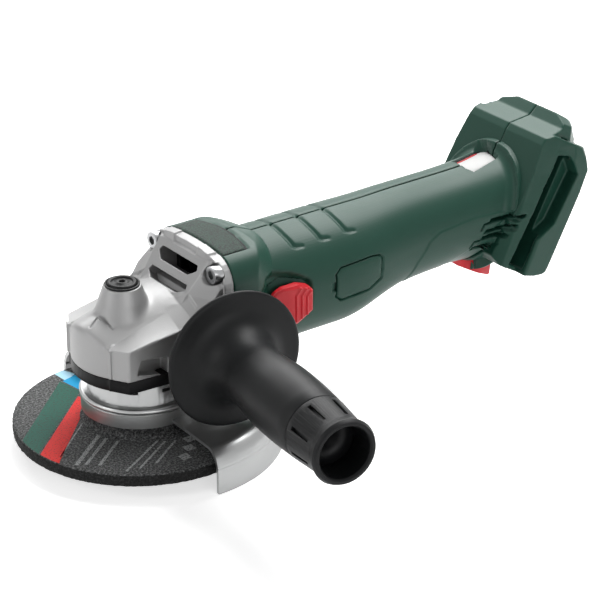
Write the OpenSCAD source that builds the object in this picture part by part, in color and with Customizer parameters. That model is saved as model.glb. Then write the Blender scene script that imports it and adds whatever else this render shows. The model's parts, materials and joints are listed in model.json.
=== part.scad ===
// Cordless angle grinder for 125 mm discs, as an assembly of its separate pieces.
// Frame: +X runs back along the motor, +Y to the right hand side, +Z up the spindle.
// Origin: on the spindle axis, level with the upper face of the disc's rim. Millimetres.

/* [Grinding disc] */
// Diameter of the disc
disc_d = 125; // [115:1:130]
// Thickness of the disc
disc_t = 6; // [4:0.5:7]
// Diameter of the hole in the disc
disc_bore = 22.2; // [20:0.1:24]
// Diameter of the raised middle of the disc
hub_d = 48; // [46:1:54]
// How far the middle is raised over the rim
hub_rise = 4.5; // [3:0.5:5]

/* [Spindle and clamping] */
// Diameter of the spindle thread
thread_d = 14; // [12:0.5:16]
// Length of thread that stands free below the nut
thread_free = 3.5; // [2:0.5:6]
// Diameter of the flange and the nut that clamp the disc
clamp_d = 41; // [36:1:43]
// Thickness of the inner flange
flange_t = 4.5; // [3:0.5:5]
// Thickness of the clamping nut
nut_t = 4.2; // [3:0.2:6]
// Diameter of the spindle in its ball bearing
spindle_d = 12; // [11:0.5:13]
// Diameter of the spindle's upper journal
journal_d = 6; // [5:0.5:6.5]

/* [Bevel gears] */
// Pitch diameter of the ring gear
ring_pitch_d = 39; // [36:0.5:40]
// Teeth of the ring gear
ring_teeth = 36; // [36:12:36]
// Teeth of the pinion
pinion_teeth = 12; // [12:1:12]
// Width of the teeth along the cone
gear_face = 7; // [5:0.5:8]

/* [Ball bearings] */
// Outer diameter of the spindle bearing
spindle_bearing_d = 32; // [30:1:33]
// Width of the spindle bearing
spindle_bearing_w = 10; // [8:1:10]
// Outer diameter of the motor's front bearing
front_bearing_d = 22; // [20:1:23]
// Outer diameter of the motor's rear bearing
rear_bearing_d = 19; // [17:1:20]
// Width of both motor bearings
motor_bearing_w = 7; // [6:0.5:7]

/* [Gear head] */
// Height of the motor axis over the disc rim
motor_z = 50.5; // [50:0.5:53]
// Height of the underside of the gear housing
head_z = 34; // [33:0.5:34.5]
// Radius of the rounded front of the gear housing
head_r = 33; // [32:0.5:35]
// Thickness of the bearing flange's plate
plate_t = 6; // [4:0.5:6.5]
// Radius of the bearing flange's neck, which the guard turns on
neck_r = 23.5; // [22:0.5:24]
// Distance of the lock button from the spindle axis
lock_x = 8.5; // [8:0.5:9]
// Diameter of the lock button
lock_d = 14.6; // [13:0.2:15]
// Travel of the lock button
lock_travel = 4; // [3:0.5:4.5]

/* [Guard] */
// Gap between the disc's rim and the guard's skirt
guard_gap = 5.2; // [4:0.1:8]
// Sheet thickness of the guard
guard_t = 1.6; // [1:0.1:2]
// How far the skirt hangs below the upper face of the rim
guard_drop = 13; // [10:0.5:16]
// Angle that the guard covers
guard_sweep = 183; // [160:1:190]
// Height of the guard's top plate
guard_z = 7.5; // [7.5:0.5:8]

/* [Body] */
// Radius of the motor barrel
barrel_r = 30; // [29:0.5:31]
// Wall of the body shells
wall = 2.6; // [2:0.1:3]
// Half width of the square collar behind the gear head
collar_w = 32; // [31.5:0.5:34]
// Half width of the grip
grip_w = 24.4; // [23.5:0.1:26]
// Diameter of the body screws' shanks
screw_d = 3.8; // [3:0.1:4]

/* [Motor] */
// Outer diameter of the motor can
can_d = 47; // [44:0.5:47.5]
// Length of the motor can
can_l = 50; // [46:1:51]
// Diameter of the rotor core
rotor_d = 35.6; // [32:0.2:36]
// Diameter of the commutator
commutator_d = 22; // [18:1:24]
// Diameter of the motor shaft
shaft_d = 8; // [7:0.5:8]
// Diameter of the fan
fan_d = 45; // [40:1:46]

/* [Switch] */
// Length of the slide button
slide_l = 23; // [21:1:25]
// Travel of the slide button
slide_travel = 7; // [5:0.5:8]

/* [Battery foot] */
// Lean of the foot from upright
foot_lean = 28.5; // [26:0.5:30]
// Half width of the foot's rear plate
foot_w = 38; // [37:0.5:40]
// Height of the foot along its rear face
foot_h = 77; // [75:0.5:80]
// Half width of the slot for the battery's rails
slot_w = 28; // [26:0.5:29]
// Depth of the battery slot
slot_depth = 12.5; // [11:0.5:13]

/* [Side handle] */
// Forward lean of the side handle
handle_lean = 7.7; // [5:0.1:10]
// Diameter of the handle's thread
handle_thread_d = 8; // [8:1:10]
// Length of the grip from its flange to its end
handle_l = 105.5; // [95:0.5:120]
// Length of the sleeve at the rear end of the grip
sleeve_l = 25.5; // [20:0.5:30]
// Radius of the handle's flange
handle_flange_r = 34.4; // [28:0.2:36]
// Largest radius of the grip
handle_r = 17.4; // [16:0.2:19]

/* [Clearances] */
// Radial gap of a running fit
run_gap = 0.03; // [0.02:0.01:0.08]
// Gap around a piece that slides or turns freely
free_gap = 0.4; // [0.3:0.05:0.5]
// Gap between the end of a turning piece and what stands still
end_gap = 0.3; // [0.3:0.05:0.5]

/* [Hidden] */
$fn = 64;

// Disc, flange and spindle heights
seat_z = hub_rise;
flange_top = seat_z + flange_t;
nut_bottom = hub_rise - disc_t - nut_t;
neck_bottom = flange_top + 1;
bearing_z = neck_bottom + 3;
bearing_top = bearing_z + spindle_bearing_w;
shoulder_r = spindle_d / 2 + 2.5;

// Bevel pair: both pitch cones meet on the spindle axis at the motor's height
ring_r = ring_pitch_d / 2;
pinion_r = ring_r * pinion_teeth / ring_teeth;
ring_cone = atan(ring_r / pinion_r);
cone_l = ring_r / sin(ring_cone);
tooth_m = ring_pitch_d / ring_teeth;
tooth_top = tooth_m * 0.95;
tooth_root = tooth_m * 1.2;
web_z = motor_z - pinion_r - 0.4;
roof_z = web_z + 4;
circlip_r = spindle_d / 2 - 0.7;
lock_hole_r = 2.3;
lock_pin_r = 2;

// Gear head
plate_z = head_z - plate_t;
tongue_y = 17.5;
tongue_front_z = 50;
tongue_rear = [12.7, 61.8];
tongue_crown = 7;
tongue_crown_rear = 4.2;
cool_rear = [26.8, 80.3];
head_flange_x = 28.5;
head_rear = 34;
boss_top = 71.5;
lock_top = 73.2;
lock_r = lock_d / 2;
front_bearing_x = 25;
needle_r = journal_d / 2 + 2;
needle_l = 8;
head_screw = [25.1, 76.1];
head_screw_low = [23.6, 27.5];
head_screw_d = 4.8;

// Guard
skirt_r = disc_d / 2 + guard_gap;
collar_r = neck_r + 2.3;
bead_r = collar_r + 3.8;
guard_neck_r = collar_r + 1.2;
guard_start = -92;
bead_z = guard_z + 6.1;

// Body sections: [x, half width, top, bottom, top corner, bottom corner, crown, bow, lean]
// bow pushes the middle of the upper side back, lean tips the section with its height
barrel_top = motor_z + barrel_r;
barrel_low = motor_z - barrel_r;
barrel_round = barrel_r - 0.6;
collar_top = motor_z + 34;
STATIONS = [
    [34, collar_w, collar_top, barrel_low, 11, 15, 4, 0, 0],
    [48, collar_w, collar_top, barrel_low, 11, 15, 4, 8, 0],
    [57, barrel_r, barrel_top - 0.3, barrel_low, barrel_round, barrel_round, 0, 9, 0],
    [75, barrel_r, barrel_top - 0.3, barrel_low, barrel_round, barrel_round, 0, 0, 0],
    [114, barrel_r, barrel_top - 0.3, barrel_low, barrel_round, barrel_round, 0, 0, 0],
    [125, barrel_r - 1.3, barrel_top - 0.4, barrel_low + 3.4, 28, 27, 0, 0, 0],
    [136, grip_w + 2.4, barrel_top - 0.4, barrel_low + 7.2, 26, 25, 0, 0, 0],
    [150, grip_w + 0.9, barrel_top + 0.2, barrel_low + 10.4, 24.6, 24, 0, 0, 0],
    [166, grip_w + 0.2, barrel_top + 0.3, barrel_low + 11.5, 23.8, 23.4, 0, 0, 0],
    [184, grip_w, barrel_top + 0.4, barrel_low + 11.7, 23.6, 23.4, 0, 0, 0.1],
    [198, grip_w + 0.2, barrel_top + 1.1, barrel_low + 11.2, 23.6, 23.4, 0, 0, 0.3],
    [209, grip_w + 0.6, barrel_top + 3.1, barrel_low + 9, 24, 22, 0, 0, 0.5]];

// Foot: its frame stands at the lower end of the rear face, x out of it and z up along it
foot_at = [228.5, 0, 27];
foot_front = -32;
slot_top = foot_h - 15;
// Its plan at rising heights: [height, front half width, end of the front chamfer, y there,
// half width of the side, start of the rear corner, half width 2 mm behind the rear face]
FOOT_RINGS = [
    [-12, 25, -27, 31.5, foot_w - 0.5, -2, foot_w - 4],
    [6, 27, -28.4, 32, foot_w, -2, foot_w - 3.5],
    [29, 31.4, -31.4, 32, foot_w, -2, foot_w - 3.5],
    [44, 31, -29.2, 32.2, foot_w, -2, foot_w - 3.5],
    [foot_h - 21, 29.4, -25.4, 32.2, foot_w, -3, foot_w - 5],
    [foot_h - 16, 28.6, -23.5, 32, foot_w - 0.8, -6.2, foot_w - 8.6],
    [foot_h - 11, 28, -22.5, 31.5, foot_w - 2.5, -11, foot_w - 13.5]];
CROWN_RINGS = [
    [foot_h - 17, 27.2, -24, 27.5, 27.7, -13, 18.8],
    [foot_h - 9.5, 27.4, -24, 27.4, 27.3, -13, 16.6],
    [foot_h - 3.8, 24.6, -24, 24.6, 24.5, -12.4, 11.1],
    [foot_h + 1, 12.2, -24, 12.8, 12.6, -9, 4.5]];

// Motor
can_x = 47;
can_r = can_d / 2;
can_end = can_x + can_l;
magnet_r = rotor_d / 2 + 0.6;
comm_x = can_end + 4;
comm_l = 13;
fan_x = 37.5;
fan_l = 7.5;
rear_bearing_x = comm_x + comm_l + 10;
rear_shaft_r = 3.5;
brush_x = comm_x + comm_l / 2 - 2;
brush_size = [7, 5];
door_x = brush_x - 9;
door_l = 30;
door_h = 17;
door_z = 52.5;

module_z = 42;

// Seat of the rating plate on the grip: start, half width, length
plate_seat = [199.5, 9.5, 19];

// Catch under the grip
catch_x = 187;
catch_l = 25.2;
catch_pivot = [193.5, 0, 35.2];
catch_pin_r = 1.45;

// Slide switch
slide_x = 57;
slide_z = 50.8;
slide_h = 20.5;
rod_in = can_r + 0.8;
rod_out = rod_in + 1.9;
rod_a = [206, 217];
link_z = 44;
link_y = -13;
link_end = 133;
switch_low = link_z - 2.4;

// Screws that hold the shells together: [x, z, y of the head's seat]
BODY_SCREWS = [[rear_bearing_x - 2, 30, 12], [rear_bearing_x - 2, 71, 12], [152, 37.5, 6], [166, 72, 10],
    [210, 43, 10], [236, 90, 10]];
body_screw_l = 20;
boss_r = screw_d / 2 + 1.5;
screw_head_r = screw_d / 2 + 1.7;

// Side handle: foot of the axis on the gear head, and the places along it
handle_foot = [22.6, 28.6, 44.9];
handle_hub_l = 18.5;
stand_off = 5.2;
hole_depth = 9;
flange_at = stand_off + handle_hub_l;
lap_l = 10;

// ---- Shared shapes ----

// Points of an arc about [cy, cz]
function arc(cy, cz, r, a0, a1, n) =
    [for (i = [0:n]) let(a = a0 + (a1 - a0) * i / n) [cy + r * cos(a), cz + r * sin(a)]];

// Rounded box outline with a crowned top, as [y, z] points
function section(w, top, low, rt, rb, crown) =
    let(flat = top - crown, mid = (top + low) / 2,
        pts = concat(
            arc(w - rt, flat - rt, rt, 0, 90, 6),
            [for (t = [0.5, 0, -0.5]) [t * (w - rt), flat]],
            arc(rt - w, flat - rt, rt, 90, 180, 6),
            arc(rb - w, low + rb, rb, 180, 270, 6),
            [for (t = [-0.5, 0, 0.5]) [t * (w - rb), low]],
            arc(w - rb, low + rb, rb, 270, 360, 6)))
    [for (p = pts) [p[0], p[1] + (p[1] > mid ? crown * (1 - pow(p[0] / w, 2)) : 0)]];

// The body's section at a station, drawn in by an inset
function body_section(s, inset) =
    section(s[1] - inset, s[2] - inset, s[3] + inset, s[4] - inset, s[5] - inset, s[6]);

// Solid skin through rings of equal length, closed at both ends
module loft(rings) {
    n = len(rings[0]);
    m = len(rings);
    polyhedron(
        points = [for (r = rings) each r],
        faces = concat(
            [[for (i = [0:n - 1]) i]],
            [for (j = [0:m - 2], i = [0:n - 1]) let(k = (i + 1) % n)
                [j * n + i, (j + 1) * n + i, (j + 1) * n + k]],
            [for (j = [0:m - 2], i = [0:n - 1]) let(k = (i + 1) % n)
                [j * n + i, (j + 1) * n + k, j * n + k]],
            [[for (i = [n - 1:-1:0]) (m - 1) * n + i]]),
        convexity = 6);
}

// Straight bevel teeth with their rim: apex at the origin, cone opening up along +Z
module bevel_teeth(teeth, cone) {
    pitch = 360 / teeth;
    half = [pitch * 0.33, pitch * 0.12];
    small = (cone_l - gear_face) / cone_l;
    function at(lift, a, k) =
        let(r = (cone_l * sin(cone) + lift * cos(cone)) * k,
            z = (cone_l * cos(cone) - lift * sin(cone)) * k) [r * cos(a), r * sin(a), z];
    function teeth_loop(k) = [for (i = [0:teeth - 1]) each
        [at(-tooth_root, i * pitch - half[0], k), at(tooth_top, i * pitch - half[1], k),
         at(tooth_top, i * pitch + half[1], k), at(-tooth_root, i * pitch + half[0], k)]];
    function rim_loop(k) = [for (i = [0:teeth - 1], a = [-half[0], -half[1], half[1], half[0]])
        at(-2 * tooth_root, i * pitch + a, k)];
    n = teeth * 4;
    polyhedron(
        points = concat(teeth_loop(1), rim_loop(1), rim_loop(small), teeth_loop(small)),
        faces = [for (j = [0:3], i = [0:n - 1], h = [0, 1])
            let(k = (i + 1) % n, q = (j + 1) % 4)
            h == 0 ? [j * n + i, q * n + k, j * n + k] : [j * n + i, q * n + i, q * n + k]],
        convexity = 10);
}

// Deep groove ball bearing along +Z: two races and their balls
module ball_bearing(bore_r, outer_r, w) {
    race = (outer_r - bore_r) * 0.26;
    ball_r = (outer_r - bore_r) / 2 - race - 0.02;
    ring_r = (outer_r + bore_r) / 2;
    balls = floor(360 / (2 * asin(ball_r / ring_r)) * 0.8);
    for (r = [[bore_r + run_gap, bore_r + race], [outer_r - race, outer_r]])
        rotate_extrude() translate([r[0], 0]) square([r[1] - r[0], w]);
    for (i = [0:balls - 1])
        rotate([0, 0, 360 * i / balls]) translate([ring_r, 0, w / 2]) sphere(r = ball_r, $fn = 24);
}

// Turns a shape drawn along +Z to lie back along the motor axis from x
module on_motor(x) { translate([x, 0, motor_z]) rotate([0, 90, 0]) children(); }

// A ring cut about the motor axis, from x, between two angles seen from the rear
module motor_sector(x, l, r0, r1, a0, a1) {
    translate([x, 0, motor_z]) rotate([90, 0, 90]) rotate([0, 0, a0])
        rotate_extrude(angle = a1 - a0) translate([r0, 0]) square([r1 - r0, l]);
}

// Places a shape in the foot's leaning frame
module in_foot() { translate(foot_at) rotate([0, foot_lean, 0]) children(); }

// Places a shape drawn along +Z on a side handle axis, side -1 left and 1 right
module on_handle(side, s) {
    translate([handle_foot[0], side * handle_foot[1], handle_foot[2]])
        rotate([side * -90, 0, 0]) rotate([0, -handle_lean, 0]) translate([0, 0, s]) children();
}

// A slab of a side outline, drawn in x and z, spread across y
module across(half) { rotate([90, 0, 0]) linear_extrude(height = 2 * half, center = true) children(); }

// ---- Disc and its clamping ----

module grinding_disc() {
    color([0.20, 0.20, 0.21]) rotate_extrude($fn = 96) polygon([
        [disc_bore / 2, hub_rise - disc_t], [hub_d / 2 - 2, hub_rise - disc_t],
        [hub_d / 2 + 3, -disc_t], [disc_d / 2, -disc_t], [disc_d / 2, 0],
        [hub_d / 2 + 4.5, 0], [hub_d / 2, hub_rise], [disc_bore / 2, hub_rise]]);
}

module inner_flange() {
    boss_r = disc_bore / 2 - 0.1;
    color([0.62, 0.63, 0.65]) rotate_extrude() polygon([
        [thread_d / 2 + run_gap, seat_z - 3], [boss_r, seat_z - 3], [boss_r, seat_z],
        [clamp_d / 2, seat_z], [clamp_d / 2, seat_z + flange_t * 0.6],
        [clamp_d / 2 - 3, flange_top], [thread_d / 2 + run_gap, flange_top]]);
}

module clamping_nut() {
    pin_hole = [2.5, 16.5];
    color([0.16, 0.16, 0.17]) difference() {
        rotate_extrude() polygon([
            [thread_d / 2 + run_gap, nut_bottom], [clamp_d / 2 - 1, nut_bottom],
            [clamp_d / 2, nut_bottom + 1], [clamp_d / 2, nut_bottom + nut_t],
            [thread_d / 2 + run_gap, nut_bottom + nut_t]]);
        for (a = [0:90:270]) rotate([0, 0, a])
            translate([pin_hole[1], 0, nut_bottom - 1]) cylinder(r = pin_hole[0], h = nut_t);
    }
}

// ---- Spindle and gears ----

module spindle() {
    end_z = nut_bottom - thread_free;
    r = spindle_d / 2;
    journal_r = journal_d / 2;
    top = roof_z + needle_l + 0.3;
    color([0.70, 0.71, 0.73]) rotate_extrude() polygon([
        [0, end_z], [thread_d / 2 - 0.8, end_z], [thread_d / 2, end_z + 0.8],
        [thread_d / 2, flange_top], [shoulder_r, flange_top], [shoulder_r, bearing_z - end_gap],
        [r, bearing_z - end_gap], [r, web_z - 0.4], [circlip_r, web_z - 0.4], [circlip_r, web_z + 0.7],
        [r, web_z + 0.7], [r, web_z + 2], [journal_r, web_z + 3], [journal_r, top - 0.6],
        [journal_r - 0.6, top], [0, top]]);
}

module ring_gear() {
    hub_r = spindle_d / 2 + 2.3;
    hub_z = bearing_top + end_gap;
    bore_r = spindle_d / 2 + run_gap;
    rim_z = motor_z - (cone_l * cos(ring_cone) + 2 * tooth_root * sin(ring_cone)) - 0.6;
    rim_r = ring_r - tooth_root * cos(ring_cone) - 1;
    inner = ring_r - gear_face * sin(ring_cone);
    color([0.48, 0.49, 0.51]) union() {
        translate([0, 0, motor_z]) rotate([180, 0, 0]) bevel_teeth(ring_teeth, ring_cone);
        difference() {
            rotate_extrude() polygon([
                [bore_r, hub_z], [hub_r, hub_z], [hub_r, rim_z - 3], [rim_r - 2, rim_z - 3],
                [rim_r, rim_z], [rim_r, rim_z + 2.2], [inner, web_z - 0.4], [bore_r, web_z - 0.4]]);
            for (i = [0:7]) rotate([0, 0, 180 + 45 * i])
                translate([lock_x, 0, web_z - 5]) cylinder(r = lock_hole_r, h = 10);
        }
    }
}

module gear_circlip() {
    color([0.25, 0.25, 0.27]) translate([0, 0, web_z - 0.35]) difference() {
        rotate_extrude() translate([circlip_r + 0.05, 0]) square([0.85, 1]);
        translate([0, -1, -1]) cube([spindle_d, 2, 4]);
    }
}

module pinion() {
    cone = 90 - ring_cone;
    start = (cone_l - gear_face) * cos(cone) + tooth_root * sin(cone) * 0.6;
    large = cone_l * cos(cone);
    color([0.50, 0.51, 0.53]) union() {
        on_motor(0) rotate([0, 0, 180 / pinion_teeth]) bevel_teeth(pinion_teeth, cone);
        on_motor(0) rotate_extrude() polygon([
            [shaft_d / 2 - 2 + run_gap, start], [(cone_l - gear_face) * sin(cone) - tooth_root + 0.2, start],
            [pinion_r - tooth_root * 1.1, large], [pinion_r - 0.2, large + 0.6],
            [pinion_r - 0.2, front_bearing_x - 0.6], [shaft_d / 2 - 2 + run_gap, front_bearing_x - 0.6]]);
    }
}

module spindle_bearing() {
    color([0.72, 0.73, 0.75])
        translate([0, 0, bearing_z]) ball_bearing(spindle_d / 2, spindle_bearing_d / 2, spindle_bearing_w);
}

module needle_bearing() {
    needles = 9;
    ring_r = (journal_d / 2 + needle_r) / 2 - 0.2;
    color([0.68, 0.69, 0.71]) translate([0, 0, roof_z]) {
        rotate_extrude() translate([needle_r - 0.6, 0]) square([0.6, needle_l]);
        for (i = [0:needles - 1]) rotate([0, 0, 360 * i / needles])
            translate([journal_d / 2 + 0.68, 0, 0.6]) cylinder(r = 0.62, h = needle_l - 1.2, $fn = 20);
    }
}

module bearing_cover() {
    color([0.55, 0.56, 0.58]) translate([0, 0, bearing_top]) difference() {
        rotate_extrude() translate([spindle_d / 2 + 3.2, 0])
            square([spindle_bearing_d / 2 + 4 - spindle_d / 2 - 3.2, 1.6]);
        for (a = [60, 180, 300]) rotate([0, 0, a])
            translate([spindle_bearing_d / 2 + 2, 0, -1]) cylinder(r = 1.3, h = 4);
    }
}

// ---- Gear head ----

// Outline of the gear head seen from above
module head_plan() {
    ridge = [-28.4, 18];
    intersection() {
        circle(r = head_r);
        translate([-head_r, -ridge[1]]) square([head_r, 2 * ridge[1]]);
    }
    polygon([for (s = [1, -1]) each [for (p = s > 0
        ? [ridge, [-27.6, 18.8], [-23.4, 26], [-22.4, 26.6], [5, 28.6], [22, 29.8], [32, 31]]
        : [[32, 31], [22, 29.8], [5, 28.6], [-22.4, 26.6], [-23.4, 26], [-27.6, 18.8], ridge])
        [p[0], s * p[1]]]]);
}

// Top of the gear head: a crowned tongue that climbs to the flat cooling plate, sloped down at
// its sides. Each station: x, half width and height of the tongue, of its side slope, and crown
module head_top(drop) {
    plate_slope = (cool_rear[1] - tongue_rear[1]) / (cool_rear[0] - tongue_rear[0]);
    meet = tongue_crown_rear / plate_slope;
    stations = [
        [-head_r - 1, 16, 47.8, 27, 47.4, tongue_crown],
        [-27, 16.4, tongue_front_z, 27, 49.3, tongue_crown],
        [-6, 17, 56.3, 28, 52.5, tongue_crown], [5, 17.3, 59.5, 28.6, 54, tongue_crown - 1],
        [tongue_rear[0], tongue_y, tongue_rear[1], 29.3, 56.6, tongue_crown_rear],
        [tongue_rear[0] + meet, tongue_y + 0.6, tongue_rear[1] + tongue_crown_rear, 29.8, 58.8, 0],
        [cool_rear[0], 20.2, cool_rear[1], 31.4, 66, 0],
        [head_flange_x + 1, 21, cool_rear[1] + 1, 31.6, 68, 0.3]];
    low = head_z - 2;
    loft([for (s = stations) [for (p = concat(
        [[s[3] + 4, low], [s[3] + 4, s[4] - drop - 1.5]],
        [for (k = [4:-1:-4]) [s[1] * k / 4, s[2] - drop + s[5] * (1 - pow(abs(k) / 4, 1.8))]],
        [[-s[3] - 4, s[4] - drop - 1.5], [-s[3] - 4, low]]))
        [s[0], p[0], p[1]]]]);
}

// Places a shape on the two upper and two lower screws of the gear housing, drawn along +X
module at_head_screws(x) {
    for (s = [-1, 1], p = [head_screw, head_screw_low])
        translate([x, s * p[0], p[1]]) rotate([0, 90, 0]) children();
}

module gear_housing() {
    shell_r = ring_r + 1.6;
    boss_low = 56;
    color([0.74, 0.75, 0.76]) difference() {
        union() {
            intersection() {
                translate([0, 0, head_z]) linear_extrude(height = 60) head_plan();
                head_top(0);
            }
            translate([head_flange_x, 0, 0]) rotate([90, 0, 90])
                linear_extrude(height = head_rear - head_flange_x) polygon(body_section(STATIONS[0], 0.3));
            translate([-lock_x, 0, boss_low - 6])
                cylinder(r1 = 16.7, r2 = lock_r + 1.8, h = boss_top - boss_low + 6);
            for (s = [-1, 1]) on_handle(s, -3) cylinder(r1 = 10.6, r2 = 9.5, h = stand_off + 3);
        }
        // room for the ring gear and the pinion
        rotate_extrude() polygon([[0, head_z - 1], [shell_r, head_z - 1], [shell_r, roof_z - 1.8],
            [ring_r - gear_face, roof_z], [0, roof_z]]);
        on_motor(0) cylinder(r = pinion_r + 2.2, h = front_bearing_x + 0.1);
        on_motor(front_bearing_x) cylinder(r = front_bearing_d / 2 + run_gap, h = motor_bearing_w);
        on_motor(front_bearing_x) cylinder(r = front_bearing_d / 2 - 1.5, h = 20);
        // upper spindle bearing
        translate([0, 0, roof_z - 0.5]) cylinder(r = needle_r + run_gap, h = needle_l + 0.5);
        translate([0, 0, roof_z - 0.5]) cylinder(r = journal_d / 2 + 0.5, h = needle_l + 1.2);
        // lock button, its spring and its pin
        translate([-lock_x, 0, roof_z - 1]) cylinder(r = lock_pin_r + run_gap, h = 30);
        translate([-lock_x, 0, lock_top - 7.2 - lock_travel - 0.3])
            cylinder(r = lock_r + 0.3, h = 30);
        // air way from the fan to the two cooling slots
        across(16.5) polygon([[head_rear + 1, 63.5], [head_rear + 1, 78.5], [27.6, 78.5],
            [17.4, 65], [19.5, 63.5]]);
        cooling_slots();
        // pockets and holes of the four screws
        at_head_screws(head_flange_x - 8) cylinder(r = head_screw_d / 2 + 2.6, h = 9.5);
        at_head_screws(head_flange_x) cylinder(r = head_screw_d / 2 + 0.2, h = 12);
        // threads for the side handle
        for (s = [-1, 1]) on_handle(s, stand_off - hole_depth)
            cylinder(r = handle_thread_d / 2, h = hole_depth + 1);
        // rotation arrow, engraved
        arrow();
        // screws of the bearing flange
        at_flange_screws() translate([0, 0, head_z - 1]) cylinder(r = 2, h = 10);
    }
}

// Two slots through the cooling plate, with cut corners
module cooling_slots() {
    slope = atan((cool_rear[1] - tongue_rear[1]) / (cool_rear[0] - tongue_rear[0]));
    for (p = [[3.6, 15.8, 5.6], [13.6, 16, 6.2]])
        translate([tongue_rear[0], 0, tongue_rear[1]]) rotate([0, -slope, 0])
            translate([p[0], 0, -6]) linear_extrude(height = 12) polygon([
                [0, -p[1] + 4.5], [0, p[1] - 4.5], [p[2] - 2.6, p[1]], [p[2], p[1] - 1.2],
                [p[2], 1.2 - p[1]], [p[2] - 2.6, -p[1]]]);
}

// Arrow head for the direction of rotation, its two bars cut from above
module arrow() {
    tip = [-22.5, 0, 57.7];
    for (end = [[-28.9, -3.2, 55.3], [-20.9, -10.2, 55.2]]) hull()
        for (p = [tip, end]) translate(p) cylinder(r = 0.55, h = 4, $fn = 12);
}

module gear_housing_screws() {
    head_l = 5;
    r = head_screw_d / 2;
    color([0.66, 0.67, 0.69]) at_head_screws(head_flange_x + 1.5 - head_l) difference() {
        union() {
            cylinder(r = r + 1.8, h = head_l);
            cylinder(r = r, h = 17);
        }
        translate([0, 0, -1]) cylinder(r = 2.3, h = 3.6, $fn = 6);
    }
}

// Places a shape on the four screws that hold the bearing flange
module at_flange_screws() {
    for (s = [-1, 1], p = [[-17.5, 19.5], [11, 23.8]]) translate([p[0], s * p[1], 0]) children();
}

module bearing_flange() {
    r = spindle_bearing_d / 2;
    color([0.10, 0.10, 0.11]) difference() {
        union() {
            intersection() {
                translate([0, 0, plate_z]) linear_extrude(height = plate_t) head_plan();
                translate([-50, -50, 0]) cube([50 + head_flange_x - 1, 100, 60]);
            }
            translate([0, 0, neck_bottom]) cylinder(r = neck_r, h = plate_z - neck_bottom + 1);
        }
        translate([0, 0, neck_bottom - 1]) cylinder(r = shoulder_r + free_gap, h = 10);
        translate([0, 0, bearing_z]) cylinder(r = r + run_gap, h = 40);
        translate([0, 0, bearing_top]) cylinder(r = r + 4 + run_gap, h = 40);
        at_flange_screws() translate([0, 0, plate_z - 1]) cylinder(r = 2, h = 20);
        at_flange_screws() translate([0, 0, plate_z - 1]) cylinder(r = 4, h = 3.5);
        for (s = [-1, 1]) scale([1, s, 1]) translate([17.5, 17.5, plate_z - 1]) cube([20, 20, plate_t + 2]);
    }
}

module flange_screws() {
    color([0.30, 0.30, 0.32]) at_flange_screws() difference() {
        union() {
            translate([0, 0, plate_z + 0.3]) cylinder(r = 3.7, h = 2.2);
            translate([0, 0, plate_z + 1]) cylinder(r = 1.97, h = 12);
        }
        translate([0, 0, plate_z - 1]) cylinder(r = 1.6, h = 2.6, $fn = 6);
    }
}

module lock_button() {
    depth = 7.2;
    color([0.13, 0.13, 0.14]) translate([-lock_x, 0, lock_top - depth]) difference() {
        cylinder(r = lock_r, h = depth);
        translate([0, 0, -1]) cylinder(r = lock_r - 1.4, h = depth - 1.2);
        for (r = [5.6, 3.8]) translate([0, 0, depth - 0.4])
            rotate_extrude() translate([r - 0.25, 0]) square([0.5, 1]);
        translate([0, 0, depth - 0.7]) cylinder(r = 1.4, h = 1);
    }
}

module lock_pin() {
    end_z = web_z + 0.6;
    color([0.60, 0.61, 0.63]) translate([-lock_x, 0, end_z])
        cylinder(r = lock_pin_r, h = lock_top - 2.2 - end_z);
}

// Coil spring along +Z, as close rings
module coil(r, wire, l, turns) {
    step = (l - wire) / (turns - 1);
    for (i = [0:turns - 1]) translate([0, 0, wire / 2 + step * i])
        rotate_extrude($fn = 32) translate([r, 0]) circle(r = wire / 2, $fn = 16);
}

module lock_spring() {
    low = lock_top - 7.2 - lock_travel - 0.3;
    color([0.66, 0.67, 0.69]) translate([-lock_x, 0, low]) {
        coil(lock_r - 2.3, 1, lock_top - 2.4 - low, 6);
        difference() {
            cylinder(r = lock_r - 1.9, h = 0.6);
            translate([0, 0, -1]) cylinder(r = lock_pin_r + 0.6, h = 3);
        }
    }
}

module button_ring() {
    color([0.04, 0.04, 0.05]) translate([-lock_x, 0, boss_top])
        rotate_extrude() translate([lock_r + 0.35, 0]) square([0.9, 0.9]);
}

// ---- Guard ----

module guard_shell() {
    round_r = 8;
    top = guard_z + guard_t;
    hem_r = skirt_r + guard_t + 0.4;
    color([0.80, 0.81, 0.82]) union() {
        rotate([0, 0, guard_start]) rotate_extrude(angle = guard_sweep, $fn = 96) polygon(concat(
            [[guard_neck_r - 1, guard_z]],
            arc(skirt_r - round_r, guard_z - round_r, round_r, 90, 0, 5),
            [[skirt_r, -guard_drop], [hem_r, -guard_drop], [hem_r, 1.4 - guard_drop],
             [skirt_r + guard_t, 1.4 - guard_drop]],
            arc(skirt_r - round_r, guard_z - round_r, round_r + guard_t, 0, 90, 5),
            [[guard_neck_r - 1, top]]));
        rotate_extrude($fn = 96) polygon([
            [guard_neck_r - 2, guard_z - 1], [guard_neck_r, guard_z - 1],
            [guard_neck_r, bead_z], [guard_neck_r - 2, bead_z]]);
    }
}

module guard_collar() {
    top = plate_z - end_gap;
    color([0.78, 0.79, 0.80]) difference() {
        rotate_extrude($fn = 96) union() {
            translate([neck_r + run_gap, bead_z]) square([collar_r - neck_r - run_gap, top - bead_z]);
            translate([neck_r + run_gap, bead_z]) square([bead_r - 1.5 - neck_r - run_gap, 3]);
            translate([bead_r - 1.5, bead_z + 1.5]) circle(r = 1.5, $fn = 24);
        }
        // slots that the catch of the guard drops into
        for (i = [0:7]) rotate([0, 0, 230 + 36 * i])
            translate([neck_r - 1, -2.2, top - 4.6]) cube([6, 4.4, 1.8]);
    }
}

// ---- Body ----

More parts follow.
